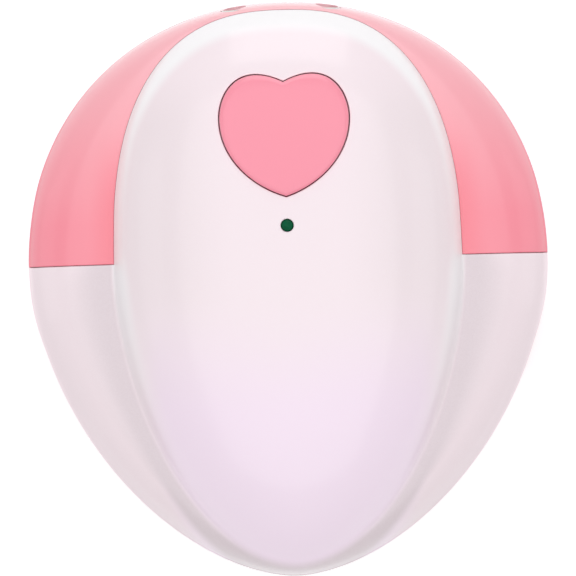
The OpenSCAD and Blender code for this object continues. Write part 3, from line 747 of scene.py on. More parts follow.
def flat_first(obj):
    """Lets the largest faces set the shading, so that a flat beside a cut or a round stays flat."""
    step = obj.modifiers.new("flat_first", "WEIGHTED_NORMAL")
    step.weight = 90
    step.keep_sharp = True
    return obj


body_of = {node: body for body, nodes in frame["record"]["behaviour"]["bodies"].items() for node in nodes}
slot_of = {part["node"]: part["material_slot"] for part in frame["record"]["subparts"]}


def adopt(obj, *nodes, like=None):
    """Gives a finished piece the body, slot and finish of the nodes it replaces, or of the one it is like."""
    model = like or nodes[0]
    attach(obj, body_of[model])
    obj.data.materials.clear()
    obj.data.materials.append(finishes[slot_of[model]])
    if nodes:
        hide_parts(*nodes)
    print(f"{obj.name}: {len(obj.data.polygons)} faces, on {body_of[model]}")
    return obj


# %% [markdown]
# ## Front shell
# The white upper shell is one moulding: hood, skirt, and in front of the widest line a ledge that carries
# the pink trim. Each column of its mesh runs from the heart's opening over the hood, down the skirt or the
# ledge to the seam, and back along the inside, so the shell is closed and has its real wall.

# %% Columns of the front shell
half_columns = 150
hood_rings = 40
skirt_rings = 30
roof_rings = 12
heart_gap = 0.2
collar_t = 1.2
collar_z = heart_low.z + 1.5
bore_top = 1.2
lip_r = 0.2
foot_crowding = 1.7
ledge_least = 0.12
drop_fade = 1.5
lip_play = 0.15


def rounded(width, height, steps):
    """Offsets (inward, down) along a quarter round, from the top to the side."""
    return [(width * (1 - math.sin(t)), height * (1 - math.cos(t))) for t in quarter(steps)]


def hood_run(turn):
    """From the collar's foot up through the opening and out to the hood's foot."""
    bore = heart_at(turn, heart_gap)
    points = [(*bore, collar_z), over(*bore, -bore_top)]
    for inward, down in reversed(rounded(lip_r, lip_r, 4)):
        points.append(over(*heart_at(turn, heart_gap + inward), -down))
    start = heart_at(turn, heart_gap + lip_r)
    end = around(turn, hood_r(turn), 0)[:2]
    for i in range(1, hood_rings + 1):
        share = 1 - (1 - i / hood_rings) ** foot_crowding
        points.append(over(*between(start, end, share)))
    return points


def head_run(turn):
    """The ledge under the trim, from the hood's foot to the seam."""
    foot, edge = hood_r(turn), case_r(turn)
    reach = max(edge - foot - ledge_t, ledge_least)
    drop = foot_z - ledge_t - flange_z
    turns = quarter(skirt_rings - 1)
    points = [(foot + reach * math.sin(t), flange_z + drop * math.cos(t)) for t in turns]
    return points + [(edge, flange_z), (edge, seam_z + edge_r), (edge - edge_r, seam_z)]


def tail_run(turn, drop=0.0):
    """The skirt, from the hood's foot to the seam; drop rounds its front edge off."""
    foot, edge = hood_r(turn), case_r(turn)
    points = []
    for i in range(1, skirt_rings + 2):
        share = (1 - math.cos(math.pi * i / (skirt_rings + 2))) / 2
        reach = foot + (edge - foot) * share
        fade = ease((reach - foot) / drop_fade)
        points.append((reach - drop * fade * share, top_z(turn, reach) - drop * fade))
    return points + [(edge - drop, seam_z + edge_r), (edge - edge_r - drop, seam_z)]


def inside_run(turn, under):
    """From the centring lip at the seam along the roof to the collar round the heart."""
    lip = case_r(turn) - wall - lip_play
    back = lip - lip_t
    collar = heart_at(turn, heart_gap + collar_t)
    hook = [(lip, seam_z), (lip, seam_z - lip_h), (back, seam_z - lip_h)]
    points = [around(turn, r, z) for r, z in hook]
    start = around(turn, back, 0)[:2]
    for i in range(roof_rings + 1):
        x, y = between(start, collar, i / roof_rings)
        points.append((x, y, roof_z(*polar(x, y), under)))
    return points + [(*collar, collar_z)]


def shell_column(turn, head, drop=0.0):
    rim = head_run(turn) if head else tail_run(turn, drop)
    under = wall + ledge_t if head else wall
    return hood_run(turn) + [around(turn, r, z) for r, z in rim] + inside_run(turn, under)


# %% Front shell
line_drops = [(0.05, 0.2), (0.09, 0.07), (0.16, 0.02), (0.3, 0.0)]


def front_shell_shape():
    columns = [shell_column(math.pi * j / half_columns, True) for j in range(half_columns + 1)]
    near = [(gap / case_half_w, drop) for gap, drop in line_drops]
    columns += [shell_column(math.pi + a, False, drop) for a, drop in near]
    start = math.pi + near[-1][0]
    span = math.pi - 2 * near[-1][0]
    columns += [shell_column(start + span * j / half_columns, False) for j in range(1, half_columns)]
    columns += [shell_column(2 * math.pi - a, False, drop) for a, drop in reversed(near)]
    return loft(columns)


front_shell = make("pearl_front_shell", front_shell_shape())
print("front shell", len(front_shell.data.polygons), "faces")

# %% [markdown]
# Two kinds of round thing still pass through the shell: the green lamp in the hood and the headphone
# sockets in the head wall. Their holes are cut with a Boolean. The lamp's cutter flares at its mouth, which
# leaves the small chamfer that a mould has there, and a socket's cutter narrows to the plug's hole.

# %% Holes for the lamp and the sockets
led_low, led_high = box_mm("status_led")
led_r = (led_high.x - led_low.x) / 2 - 0.35
led_y = (led_low.y + led_high.y) / 2
led_top = led_high.z
jack_low, jack_high = box_mm("headphone_jack_right")
jack_x = (jack_low.x + jack_high.x) / 2
jack_z = (jack_low.z + jack_high.z) / 2
jack_mouth = jack_high.y
jack_nose_r = 2.5
jack_bore_r = 1.8
plug_hole_r = 2.0
nose_l = 6.0
lamp_play = 0.03
nose_play = 0.06


def lamp_cutter():
    bore, low = led_r + lamp_play, crown_z - 5
    deck = over(0.0, led_y)[2]
    profile = [(0, low), (bore, low), (bore, deck - 0.1), (bore + 0.3, deck + 0.2), (0, deck + 1)]
    return make("lamp_cutter", turned(profile, (0.0, led_y), 64))


def socket_cutter(x):
    """Room for a socket's nose, and a narrower hole in front of it that only lets the plug in."""
    bore, step = jack_nose_r + nose_play, jack_mouth + 0.02
    profile = [(0, jack_mouth - nose_l), (bore, jack_mouth - nose_l), (bore, step), (plug_hole_r, step),
               (plug_hole_r, jack_mouth + 4), (0, jack_mouth + 4)]
    return make("socket_cutter", turned(profile, (x, jack_z), 64, axis="Y"))


carve(front_shell, lamp_cutter(), socket_cutter(-jack_x), socket_cutter(jack_x))
adopt(front_shell, "front_case")

# %% [markdown]
# ## Pink trim
# The crescent lies on the ledge and carries the skirt's curve on towards the head. A hair's gap parts it from
# the white shell, and both edges at the widest line are slightly rounded, which draws the thin line there.

# %% Trim
seen_gap = 0.04
trim_rings = 24
trim_least = 0.25
trim_brow = 0.09
trim_hem = [(0.06, 0.05), (0.2, 0.0)]
trim_hem_h = 0.18
line_slant = 0.7


def trim_column(turn, drop=0.0):
    foot, edge = hood_r(turn) + seen_gap, case_r(turn)
    low_z = flange_z + line_gap
    widest = math.acos((low_z - seam_z) / (foot_z - seam_z))
    outside = []
    for i in range(trim_rings + 1):
        t = widest * i / trim_rings
        outside.append((foot + (edge - foot) * math.sin(t), seam_z + (foot_z - seam_z) * math.cos(t)))
    outside[0] = (foot + trim_brow, outside[0][1])
    outside[-1] = (outside[-1][0], low_z + trim_hem_h)
    brow = [(foot, foot_z - trim_brow), (foot + trim_brow / 3, foot_z - trim_brow / 3)]
    hem = [(edge - inward, low_z + up) for inward, up in trim_hem]
    reach = max(edge - foot - trim_t, trim_least)
    drop_in = foot_z - trim_t - low_z
    turns = reversed(quarter(trim_rings))
    inside = [(foot + reach * math.sin(t), low_z + drop_in * math.cos(t)) for t in turns]
    lowered = [(r - drop * line_slant, z - drop) for r, z in brow + outside + hem]
    points = [around(turn, r, z) for r, z in lowered + inside]
    return [(x, max(y, mid_y + seen_gap), z) for x, y, z in points]


def trim_shape():
    near = [(gap / case_half_w, drop) for gap, drop in line_drops[:-1]]
    start = line_drops[-1][0] / case_half_w
    turns = near + [(start + (math.pi - 2 * start) * j / half_columns, 0.0) for j in range(half_columns + 1)]
    turns += [(math.pi - a, drop) for a, drop in reversed(near)]
    return loft([trim_column(turn, drop) for turn, drop in turns], ring=False)


trim = make("pink_crescent", trim_shape())
carve(trim, socket_cutter(-jack_x), socket_cutter(jack_x))
adopt(trim, "side_trim")

# %% [markdown]
# ## Heart button
# A shallow cap that follows the hood a little above it, with a rounded edge, a skirt that runs in the
# collar, a flange that keeps it from falling out and a stem that meets the switch. Its top is lofted in
# shrinking hearts that end in one middle point.

# %% Heart
heart_proud = 0.6
heart_edge_w = 1.1
heart_edge_h = 0.5
cap_rings = 12
cap_wall = 1.6
button_low = collar_z - 0.3
flange_h = 1.2
cap_z = 30.03
stem_z = 28.65
stem_r = 2.1
tip_r = 1.7
heart_turns = [math.pi * j / half_columns for j in range(2 * half_columns)]


def heart_column(turn):
    points = []
    for i in range(1, cap_rings + 1):
        grow = (heart_half_w - heart_edge_w) * i / cap_rings - heart_half_w
        points.append(over(*heart_at(turn, grow), heart_proud))
    for inward, down in rounded(heart_edge_w, heart_edge_h, 8)[1:]:
        points.append(over(*heart_at(turn, -inward), heart_proud - down))
    side, hem, bore = [heart_at(turn, grow) for grow in (0.0, flange_grow, -cap_wall)]
    points += [(*side, button_low), (*hem, button_low), (*hem, button_low - flange_h)]
    return points + [(*bore, button_low - flange_h), (*bore, cap_z)]


def heart_shape():
    poles = (over(0.0, heart_y, heart_proud), (0.0, heart_y, cap_z))
    return loft([heart_column(turn) for turn in heart_turns], loop=False, poles=poles)


def stem_shape():
    top = cap_z + 0.5
    profile = [(0, stem_z), (tip_r, stem_z), (stem_r, stem_z + stem_r - tip_r), (stem_r, top), (0, top)]
    return turned(profile, (0.0, heart_y), 48)


heart_key = make("heart_key", heart_shape())
carve(heart_key, make("stem", stem_shape()), operation="UNION")
adopt(heart_key, "heart_button")

# %% [markdown]
# ## Lamp
# A light-emitting diode with its own flange and domed lens. A turned profile gives both in one go.

# %% Lamp
def lamp_profile():
    rim, seat = led_r + 0.35, led_low.z
    base = [(0, seat), (rim - 0.1, seat), (rim, seat + 0.1), (rim, seat + 0.7), (led_r, seat + 0.8)]
    dome = [(led_r * math.cos(t), led_top - led_r + led_r * math.sin(t)) for t in quarter(14)[:-1]]
    return base + dome + [(0, led_top)]


adopt(make("light_dome", turned(lamp_profile(), (0.0, led_y), 64)), "status_led")

# %% [markdown]
# ## Back shell
# The back is a bowl: a flat base that curves up to the seam. Seen from below it holds the acoustic face, the
# battery door and four deep screw holes, and the thumb wheel comes through its right side. The bowl is
# lofted, its pillars and walls are welded on, and everything that opens it is cut out. A round cutter is
# wider at its mouth, which gives each screw hole and the seat of the face their small chamfer.

# %% Bowl
bowl_columns = 200
bowl_rings = 22


def bowl_point(turn, share, inset=0.0):
    t = math.pi / 2 * share
    reach = case_r(turn) - inset - bowl_w * (1 - math.sin(t) ** (2 / bowl_power))
    return around(turn, reach, seam_z - (seam_z - inset) * max(math.cos(t), 0.0) ** (2 / bowl_power))


def bowl_column(turn):
    edge = case_r(turn)
    outside = [bowl_point(turn, i / bowl_rings) for i in range(bowl_rings)]
    rim = [around(turn, edge, seam_z - edge_r), around(turn, edge - edge_r, seam_z)]
    inside = [bowl_point(turn, 1 - i / bowl_rings, wall) for i in range(bowl_rings + 1)]
    return outside + rim + inside


bowl_turns = [2 * math.pi * j / bowl_columns for j in range(bowl_columns)]
back_shape = loft([bowl_column(t) for t in bowl_turns], loop=False, poles=((0, mid_y, 0), (0, mid_y, wall)))
back_shell = make("pearl_back_shell", back_shape)
print("bowl", len(back_shell.data.polygons), "faces")


# %% Places of the pieces that the back carries
def middle(pair):
    return (pair[0] + pair[1]) / 2


case_posts = [middle(pair) for pair in solids_mm("case_screws")]
screw_low, screw_high = solids_mm("case_screws")[0]
board_low, board_high = box_mm("main_board")
tacks = [middle(pair) for pair in solids_mm("board_screws")]
board_posts = [p for p in tacks if p.z < board_high.z]
key_posts = [p for p in tacks if p.z > board_high.z]
door_low, door_high = box_mm("battery_door")
face_low, face_high = box_mm("probe_face")
probe_y = (face_low.y + face_high.y) / 2
seat_play = 0.05
probe_r = box_mm("probe_seal")[1].x + seat_play
cup_r = box_mm("probe_cup")[1].x
wheel_low, wheel_high = box_mm("volume_wheel")
wheel_r = (wheel_high.y - wheel_low.y) / 2
wheel_x = wheel_high.x - wheel_r
wheel_y = (wheel_low.y + wheel_high.y) / 2
print(len(case_posts), "case posts,", len(board_posts), "board posts,", len(key_posts), "key board posts")


# %% Pillars and walls inside the back
def rod(x, y, low, high, radius, flare=0.0, count=48):
    """An upright rod. A flare widens its lower end, for a cutter that chamfers the mouth of its hole."""
    if not flare:
        return turned([(0, low), (radius, low), (radius, high), (0, high)], (x, y), count)
    mouth = [(0, low), (radius + flare - low, low), (radius, flare), (radius, high), (0, high)]
    return turned(mouth, (x, y), count)


def wall_frame(low, high, side_t, end_t):
    """Four walls in a rectangle, given by the box inside them."""
    columns = []
    for x, y in ((-1, -1), (1, -1), (1, 1), (-1, 1)):
        inner = (high[0] if x > 0 else low[0], high[1] if y > 0 else low[1])
        outer = (inner[0] + x * side_t, inner[1] + y * end_t)
        columns.append([(*inner, low[2]), (*outer, low[2]), (*outer, high[2]), (*inner, high[2])])
    return loft(columns)


bay_play = 0.3
bay_side_t = 2.2
bay_end_t = 1.2
case_post_r = 3.6
board_post_r = 2.4
cup_wall = 1.8
cup_wall_z = 6.0
sunk_z = wall - 0.3
bay_half_w = box_mm("battery_snap")[1].x + bay_play
bay_low = (-bay_half_w, cell_low.y - bay_play, sunk_z)
bay_high = (bay_half_w, cell_high.y + bay_play, board_low.z)
pillars = [rod(p.x, p.y, sunk_z, seam_z - seat_play, case_post_r) for p in case_posts]
pillars += [rod(p.x, p.y, sunk_z, board_low.z - seat_play, board_post_r) for p in board_posts]
pillars.append(rod(0.0, probe_y, sunk_z, cup_wall_z, cup_r + cup_wall, count=96))
carve(back_shell, make("pillars", merged(*pillars)), operation="UNION")
bay_walls = wall_frame(bay_low, bay_high, bay_side_t, bay_end_t)
carve(back_shell, make("bay_walls", bay_walls), operation="UNION")
print(len(pillars), "pillars and the battery's four walls are welded on")

# %% Openings of the back
head_recess_r = 2.9
case_head_t = 1.8
shelf_z = screw_low.z + case_head_t + seat_play
shank_hole_r = 1.5
pilot_r = 0.92
tongue_w = 1.0
door_half_w = door_high.x - tongue_w
door_t = door_high.z
door_y = door_low.y
slot_gap = 0.4
head_end = case_head + mid_y + 1
door_gap = 0.15
opening_z = 1.2
rail_z = 1.15
rail_half_w = door_high.x + door_gap + 0.1


def box_shape(low, high):
    return soft_block(low, high, 0.05, 1)


recesses = [rod(p.x, p.y, -1.0, shelf_z, head_recess_r, flare=0.3) for p in case_posts]
shanks = [rod(p.x, p.y, shelf_z - 0.5, seam_z + 1, shank_hole_r) for p in case_posts]
pilots = [rod(p.x, p.y, board_low.z - 4, board_low.z + 1, pilot_r, count=32) for p in board_posts]
carve(back_shell, make("recesses", merged(*recesses)), make("shanks", merged(*shanks, *pilots)))
carve(back_shell, make("face_seat", rod(0.0, probe_y, -1.0, 1.0, probe_r, flare=0.2, count=128)))
carve(back_shell, make("cup_bore", rod(0.0, probe_y, 0.5, 7.0, cup_r + 0.3, count=96)))
mouth_half_w, mouth_y = door_half_w + door_gap, door_y - door_gap
opening = box_shape((-mouth_half_w, mouth_y, -1), (mouth_half_w, head_end, opening_z))
rails = box_shape((-rail_half_w, mouth_y, rail_z), (rail_half_w, head_end, door_t + door_gap))
bay = box_shape((*bay_low[:2], 0.3), (*bay_high[:2], seam_z))
carve(back_shell, make("opening", opening), make("rails", rails), make("bay", bay))
slot = rod(wheel_x, wheel_y, wheel_low.z - slot_gap, wheel_high.z + slot_gap, wheel_r + slot_gap, count=128)
carve(back_shell, make("wheel_slot", slot))
carve(back_shell, make("wheel_head_slot", rod(wheel_x, wheel_y, wheel_low.z - 1.5, wheel_low.z, 2.6)))
adopt(flat_first(back_shell), "rear_case")

# %% [markdown]
# ## Battery door
# The door is a slice of the same bowl, so its head end follows the case exactly: only what a solid bowl and
# the door's own block have in common is kept. Thin tongues along its sides run in the case's rails. Thumb
# ribs lie in a recess, and a shallow pressed arrow shows which way it slides.

# %% Door
def solid_bowl():
    columns = [[bowl_point(t, i / bowl_rings) for i in range(bowl_rings + 1)] for t in bowl_turns]
    return loft(columns, loop=False, poles=((0, mid_y, 0), (0, mid_y, seam_z)))


grip_lines = 5
grip_pitch = 1.8
grip_w = 18.0
grip_r = 0.45
grip_y = door_y + 28.0
door_edge_r = 0.22
tongue_z = 1.4
tongue_l = 34.8
recess_side = 1.2
recess_end = 1.6
recess_d = 0.6
door = make("battery_cover", solid_bowl())
plate = soft_block((-door_half_w, door_y, 0.02), (door_half_w, head_end + 2, door_t), door_edge_r)
carve(door, make("plate", plate), operation="INTERSECT")
tongue_end = (door_high.x, door_y + tongue_l, door_t - 0.01)
tongues = soft_block((-door_high.x, door_y, tongue_z), tongue_end, 0.1, 2)
carve(door, make("tongues", tongues), operation="UNION")
recess_half_w = grip_w / 2 + recess_side
recess_high_y = grip_y + grip_pitch * (grip_lines - 1) + recess_end
recess_low = (-recess_half_w, grip_y - recess_end, -1.0)
recess_high = (recess_half_w, recess_high_y, recess_d)
carve(door, make("thumb_recess", soft_block(recess_low, recess_high, 0.5, 4)))


def arrow_shape(tip_y, length, half_w, depth):
    low_z, foot_y, middle_y = -0.5, tip_y - length, tip_y - length * 0.6
    columns = [[(x, y, low_z), (x, y, depth)] for x, y in ((0, tip_y), (-half_w, foot_y), (half_w, foot_y))]
    return loft(columns, loop=False, poles=((0, middle_y, low_z), (0, middle_y, depth)))


carve(door, make("arrow", arrow_shape(tip_y=grip_y - 4.0, length=4.5, half_w=3.2, depth=0.35)))
adopt(flat_first(door), "battery_door")

# %% [markdown]
# ## Patterns with Geometry Nodes
# Ribs, knurls, screws and chip legs repeat, and a node tree repeats them better than copied meshes: its
# count and spacing stay inputs. `Pattern` builds such a tree. It declares named inputs, makes nodes in the
# same way as a finish does, and ends in Realize Instances and Set Material. `grown` runs the tree once and
# keeps plain mesh.

# %% A pattern under construction
socket_kinds = {int: "NodeSocketInt", float: "NodeSocketFloat", tuple: "NodeSocketVector",
                bpy.types.Material: "NodeSocketMaterial", bpy.types.Object: "NodeSocketObject"}


class Pattern(Nodes):
    def __init__(self, name, **inputs):
        self.tree = bpy.data.node_groups.new(name, "GeometryNodeTree")
        sockets = self.tree.interface
        sockets.new_socket("Geometry", in_out="INPUT", socket_type="NodeSocketGeometry")
        sockets.new_socket("Geometry", in_out="OUTPUT", socket_type="NodeSocketGeometry")
        self.inputs = {}
        for label, value in inputs.items():
            socket = sockets.new_socket(label, in_out="INPUT", socket_type=socket_kinds[type(value)])
            self.inputs[label] = (socket.identifier, value)
        self.start = self.tree.nodes.new("NodeGroupInput")

    def given(self, label):
        return Value(self.tree, self.start.outputs[label])

    def end(self, geometry):
        real = self.node("GeometryNodeRealizeInstances", None, {"Geometry": geometry})
        done = self.node(
            "GeometryNodeSetMaterial", None, {"Geometry": real, "Material": self.given("Finish")})
        last = self.tree.nodes.new("NodeGroupOutput")
        feed(self.tree, last.inputs["Geometry"], done)

    def grown(self, name, start):
        """Runs the tree on a start object and returns the result as plain mesh."""
        step = start.modifiers.new("pattern", "NODES")
        step.node_group = self.tree
        for identifier, value in self.inputs.values():
            step[identifier] = value
        start.update_tag()
        settle(start)
        start.name = name
        return start


print("the pattern kit is ready")

# %% Thumb ribs of the door
def thumb_ribs():
    pattern = Pattern(
        "thumb_ribs", Count=grip_lines, Pitch=(0.0, grip_pitch * MM, 0.0), Radius=grip_r * MM,
        Length=grip_w * MM, Start=(0.0, grip_y * MM, (0.1 + grip_r) * MM), Finish=finishes["pearl_shell"])
    count, start, pitch = [pattern.given(label) for label in ("Count", "Start", "Pitch")]
    line = pattern.node(
        "GeometryNodeMeshLine", {"mode": "OFFSET"},
        {"Count": count, "Start Location": start, "Offset": pitch})
    bar = pattern.node(
        "GeometryNodeMeshCylinder", None,
        {"Vertices": 24, "Radius": pattern.given("Radius"), "Depth": pattern.given("Length")})
    pattern.end(pattern.node(
        "GeometryNodeInstanceOnPoints", None,
        {"Points": line, "Instance": bar, "Rotation": (0.0, math.pi / 2, 0.0)}))
    return pattern.grown("door_thumb_ribs", make("ribs", ([], [])))


adopt(thumb_ribs(), like="battery_door")


# %% Screws
cross_l = 0.62
cross_w = 0.16
thread_turns = 7


def screw_master(head_r, head_t, shank_r, shank_l, upside=1):
    """A cross-headed screw whose head's seat is at the origin, with its shank along +Z."""
    head = [(0, -head_t), (head_r * 0.5, -head_t), (head_r * 0.85, -head_t * 0.8), (head_r, -head_t * 0.45),
            (head_r, 0), (shank_r, 0)]
    thread = []
    for i in range(thread_turns):
        low = 0.4 + (shank_l - 1.4) * i / thread_turns
        thread += [(shank_r * 0.8, low), (shank_r, low + 0.3)]
    tip = [(shank_r * 0.8, shank_l - 1.0), (shank_r * 0.3, shank_l), (0, shank_l)]
    profile = [(r, upside * z) for r, z in head + thread + tip]
    screw = make("screw_master", turned(profile, count=32))
    low, high = sorted((upside * -head_t * 1.5, upside * -head_t * 0.45))
    for share_x, share_y in ((cross_l, cross_w), (cross_w, cross_l)):
        x, y = head_r * share_x, head_r * share_y
        carve(screw, make("blade", soft_block((-x, -y, low), (x, y, high), head_r * cross_w * 0.3, 1)))
    return screw


def copies(name, master, places, finish="zinc_screw"):
    """Puts copies of a master object on points."""
    pattern = Pattern(name, Master=master, Finish=finishes[finish])
    shape = pattern.node("GeometryNodeObjectInfo", None, {"Object": pattern.given("Master")}, out="Geometry")
    pattern.end(pattern.node(
        "GeometryNodeInstanceOnPoints", None, {"Points": pattern.given("Geometry"), "Instance": shape}))
    grown = pattern.grown(name, make(name, ([tuple(p) for p in places], [])))
    bpy.data.objects.remove(master)
    return grown


case_master = screw_master(head_r=2.4, head_t=case_head_t, shank_r=1.3, shank_l=screw_high.z - shelf_z)
case_places = [(p.x, p.y, shelf_z - seat_play) for p in case_posts]
adopt(copies("case_screw_set", case_master, case_places), "case_screws")
board_master = screw_master(head_r=1.9, head_t=1.05, shank_r=0.9, shank_l=5.0, upside=-1)
board_places = [(p.x, p.y, board_high.z + seat_play) for p in board_posts]
board_tacks = copies("board_tack_set", board_master, board_places)
key_master = screw_master(head_r=1.9, head_t=1.05, shank_r=0.9, shank_l=3.8)
key_places = [(p.x, p.y, box_mm("key_board")[0].z - seat_play) for p in key_posts]
key_tacks = copies("key_tack_set", key_master, key_places)
adopt(board_tacks, "board_screws")
adopt(key_tacks, like="board_screws")
wheel_screw_l = box_mm("wheel_screw")[1].z - wheel_low.z
wheel_master = screw_master(head_r=2.2, head_t=1.0, shank_r=0.9, shank_l=wheel_screw_l)
wheel_places = [(wheel_x, wheel_y, wheel_low.z - seat_play)]
adopt(copies("wheel_screw_dressed", wheel_master, wheel_places), "wheel_screw")

# %% [markdown]
# ## Thumb wheel
# The wheel is a turned disc with a ridge every few degrees. One tree welds the ridges, which stand on a
# circle of points, to the disc that it is given.

# %% Wheel
ridge_r = 0.42
ridge_count = 30
wheel_edge = 0.4
wheel_bore_r = 1.52


def wheel_disc():
    rim, low, high = wheel_r - ridge_r, wheel_low.z, wheel_high.z
    inner = rim - wheel_edge
    edge = [(inner, low), (rim, low + wheel_edge), (rim, high - wheel_edge), (inner, high)]
    hollow = [(6.2, high), (5.9, high - 0.5), (wheel_bore_r, high - 0.6)]
    return turned([(wheel_bore_r, low)] + edge + hollow, (wheel_x, wheel_y), 180)


def ridged_wheel():
    centre = (wheel_x * MM, wheel_y * MM, (wheel_low.z + wheel_high.z) / 2 * MM)
    pattern = Pattern(
        "wheel_ridges", Count=ridge_count, Rim=(wheel_r - ridge_r) * MM, Ridge=ridge_r * MM,
        Length=(wheel_high.z - wheel_low.z - 0.7) * MM, Centre=centre, Finish=finishes["pink_trim"])
    circle = pattern.node(
        "GeometryNodeMeshCircle", None, {"Vertices": pattern.given("Count"), "Radius": pattern.given("Rim")})
    ridge = pattern.node(
        "GeometryNodeMeshCylinder", None,
        {"Vertices": 14, "Radius": pattern.given("Ridge"), "Depth": pattern.given("Length")})
    ring = pattern.node("GeometryNodeInstanceOnPoints", None, {"Points": circle, "Instance": ridge})
    placed = pattern.node(
        "GeometryNodeTransform", None, {"Geometry": ring, "Translation": pattern.given("Centre")})
    solid = pattern.node("GeometryNodeRealizeInstances", None, {"Geometry": placed})
    welded = pattern.tree.nodes.new("GeometryNodeMeshBoolean")
    welded.operation = "UNION"
    for mesh in (pattern.given("Geometry"), solid):
        feed(pattern.tree, welded.inputs["Mesh 2"], mesh)
    pattern.end(Value(pattern.tree, welded.outputs["Mesh"]))
    return pattern.grown("thumb_wheel", make("disc", wheel_disc()))


adopt(ridged_wheel(), "volume_wheel")

# %% [markdown]
# ## Acoustic face and its gasket
# The face that lies on the skin is a smooth disc with a turned-over edge, and a soft ring fills the joint
# round it.

# %% Face and gasket
def face_profile():
    rim, back_z = face_high.x, box_mm("probe_seal")[1].z
    return [(0, 0.05), (rim - 3.2, 0.05), (rim - 2.9, 0.0), (rim - 0.5, 0.0), (rim - 0.15, 0.08), (rim, 0.3),
            (rim, back_z), (cup_r, back_z), (cup_r, face_high.z), (0, face_high.z)]


def gasket_profile():
    inner, outer = face_high.x + seat_play, probe_r - seat_play
    low, high = 0.12, box_mm("probe_seal")[1].z
    lip = [(inner + 0.12, low + 0.1), (inner + 0.32, low), (outer - 0.32, low), (outer - 0.12, low + 0.1)]
    return [(inner, high), (inner, low + 0.3)] + lip + [(outer, low + 0.3), (outer, high)]


adopt(make("acoustic_disc", turned(face_profile(), (0.0, probe_y), 128)), "probe_face")
adopt(make("face_gasket", turned(gasket_profile(), (0.0, probe_y), 128)), "probe_seal")


# %% [markdown]
# ## Headphone sockets
# Each socket is a small block under the key board with a round nose that reaches through the head wall. Its
# bore takes a 3.5 mm plug, and a tinned bush lines its mouth.

# %% Sockets
def socket_piece(node, side):
    low, high = box_mm(node)
    x, front = (low.x + high.x) / 2, jack_mouth - 5.6
    block = soft_block((low.x, low.y, low.z), (high.x, front, high.z), 0.3)
    nose = [(0, front - 1), (jack_nose_r, front - 1), (jack_nose_r, jack_mouth - 0.25),
            (jack_nose_r - 0.2, jack_mouth), (0, jack_mouth)]
    piece = make("socket_" + side, block)
    carve(piece, make("nose", turned(nose, (x, jack_z), 48, axis="Y")), operation="UNION")
    bore = [(0, low.y - 1), (jack_bore_r, low.y - 1), (jack_bore_r, jack_mouth - 0.15),
            (jack_bore_r + 0.3, jack_mouth + 0.15), (0, jack_mouth + 0.2)]
    carve(piece, make("bore", turned(bore, (x, jack_z), 48, axis="Y")))
    adopt(piece, node)
    outer, inner = jack_bore_r - 0.04, jack_bore_r - 0.08
    bush = [(inner, front + 2.5), (outer, front + 2.5), (outer, jack_mouth - 0.5), (inner, jack_mouth - 0.5)]
    liner = make("socket_bush_" + side, turned(bush, (x, jack_z), 48, axis="Y"))
    adopt(liner, like="battery_terminals")


socket_piece("headphone_jack_left", "left")
socket_piece("headphone_jack_right", "right")

# %% [markdown]
# ## Battery
# A nine-volt block with rolled edges, a round stud and a six-sided socket at one end, and a snap over them.
# The foam strip on the door presses on it.

# %% Battery, studs and pad
stud_low, stud_high = box_mm("battery_terminals")
stud_z = (stud_low.z + stud_high.z) / 2


def stud_shape(pair, sides):
    y, radius = middle(pair).y, (pair[1].z - pair[0].z) / 2
    low, high = stud_low.x, stud_high.x
    if sides == 6:
        crown = [(radius - 0.9, low + 0.3), (radius - 0.9, high), (radius - 0.25, high), (radius, high - 0.4),
                 (radius, low), (0.6, low), (0.6, low + 0.3)]
        return turned(crown, (y, stud_z), sides, axis="X")
    foot = [(0, low), (radius, low), (radius, low + 0.3)]
    neck = [(radius - 0.6, low + 0.5), (radius - 0.6, low + 1.0)]
    head = [(radius - 0.15, high - 0.5), (radius - 0.4, high - 0.1), (radius - 0.8, high), (0, high)]
    stud = foot + neck + head
    return turned(stud, (y, stud_z), sides, axis="X")


adopt(make("nine_volt_block", soft_block(cell_low, cell_high, 1.6, 5)), "battery_9v")
studs = sorted(solids_mm("battery_terminals"), key=lambda pair: pair[1].z - pair[0].z)
adopt(make("snap_studs", merged(stud_shape(studs[0], 48), stud_shape(studs[1], 6))), "battery_terminals")
pad_low, pad_high = box_mm("battery_pad")
foam_strip = adopt(make("foam_strip", soft_block(pad_low, pad_high, 0.15, 3)), "battery_pad")

# %% [markdown]
# ## Pieces inside
# The boards and the parts on them keep the solids' shapes, but real edges are never razor sharp. `softened`
# copies a node's mesh, joins its loose triangles, dissolves the flat ones and bevels what is left; the table
# below gives each piece its bevel in millimetres. Round leads and the spring are smoothed with subdivision
# instead.

# %% Softened and smoothed copies of nodes
def copy_of(node, name):
    bm = bmesh.new()
    bm.from_mesh(frame["nodes"][node].data)
    bmesh.ops.remove_doubles(bm, verts=bm.verts, dist=2e-6)
    bmesh.ops.dissolve_limit(bm, angle_limit=math.radians(0.5), verts=bm.verts, edges=bm.edges)
    mesh = bpy.data.meshes.new(name)
    bm.to_mesh(mesh)
    bm.free()
    return add_object(name, mesh)


def softened(node, radius):
    obj = copy_of(node, node + "_soft")
    step = obj.modifiers.new("edges", "BEVEL")
    step.width = radius * MM
    step.segments = 2
    step.limit_method = "ANGLE"
    step.angle_limit = math.radians(40)
    return adopt(settle(obj), node)


def smoothed(node):
    obj = copy_of(node, node + "_smooth")
    step = obj.modifiers.new("round", "SUBSURF")
    step.levels = 2
    step.render_levels = 2
    return adopt(settle(obj), node)


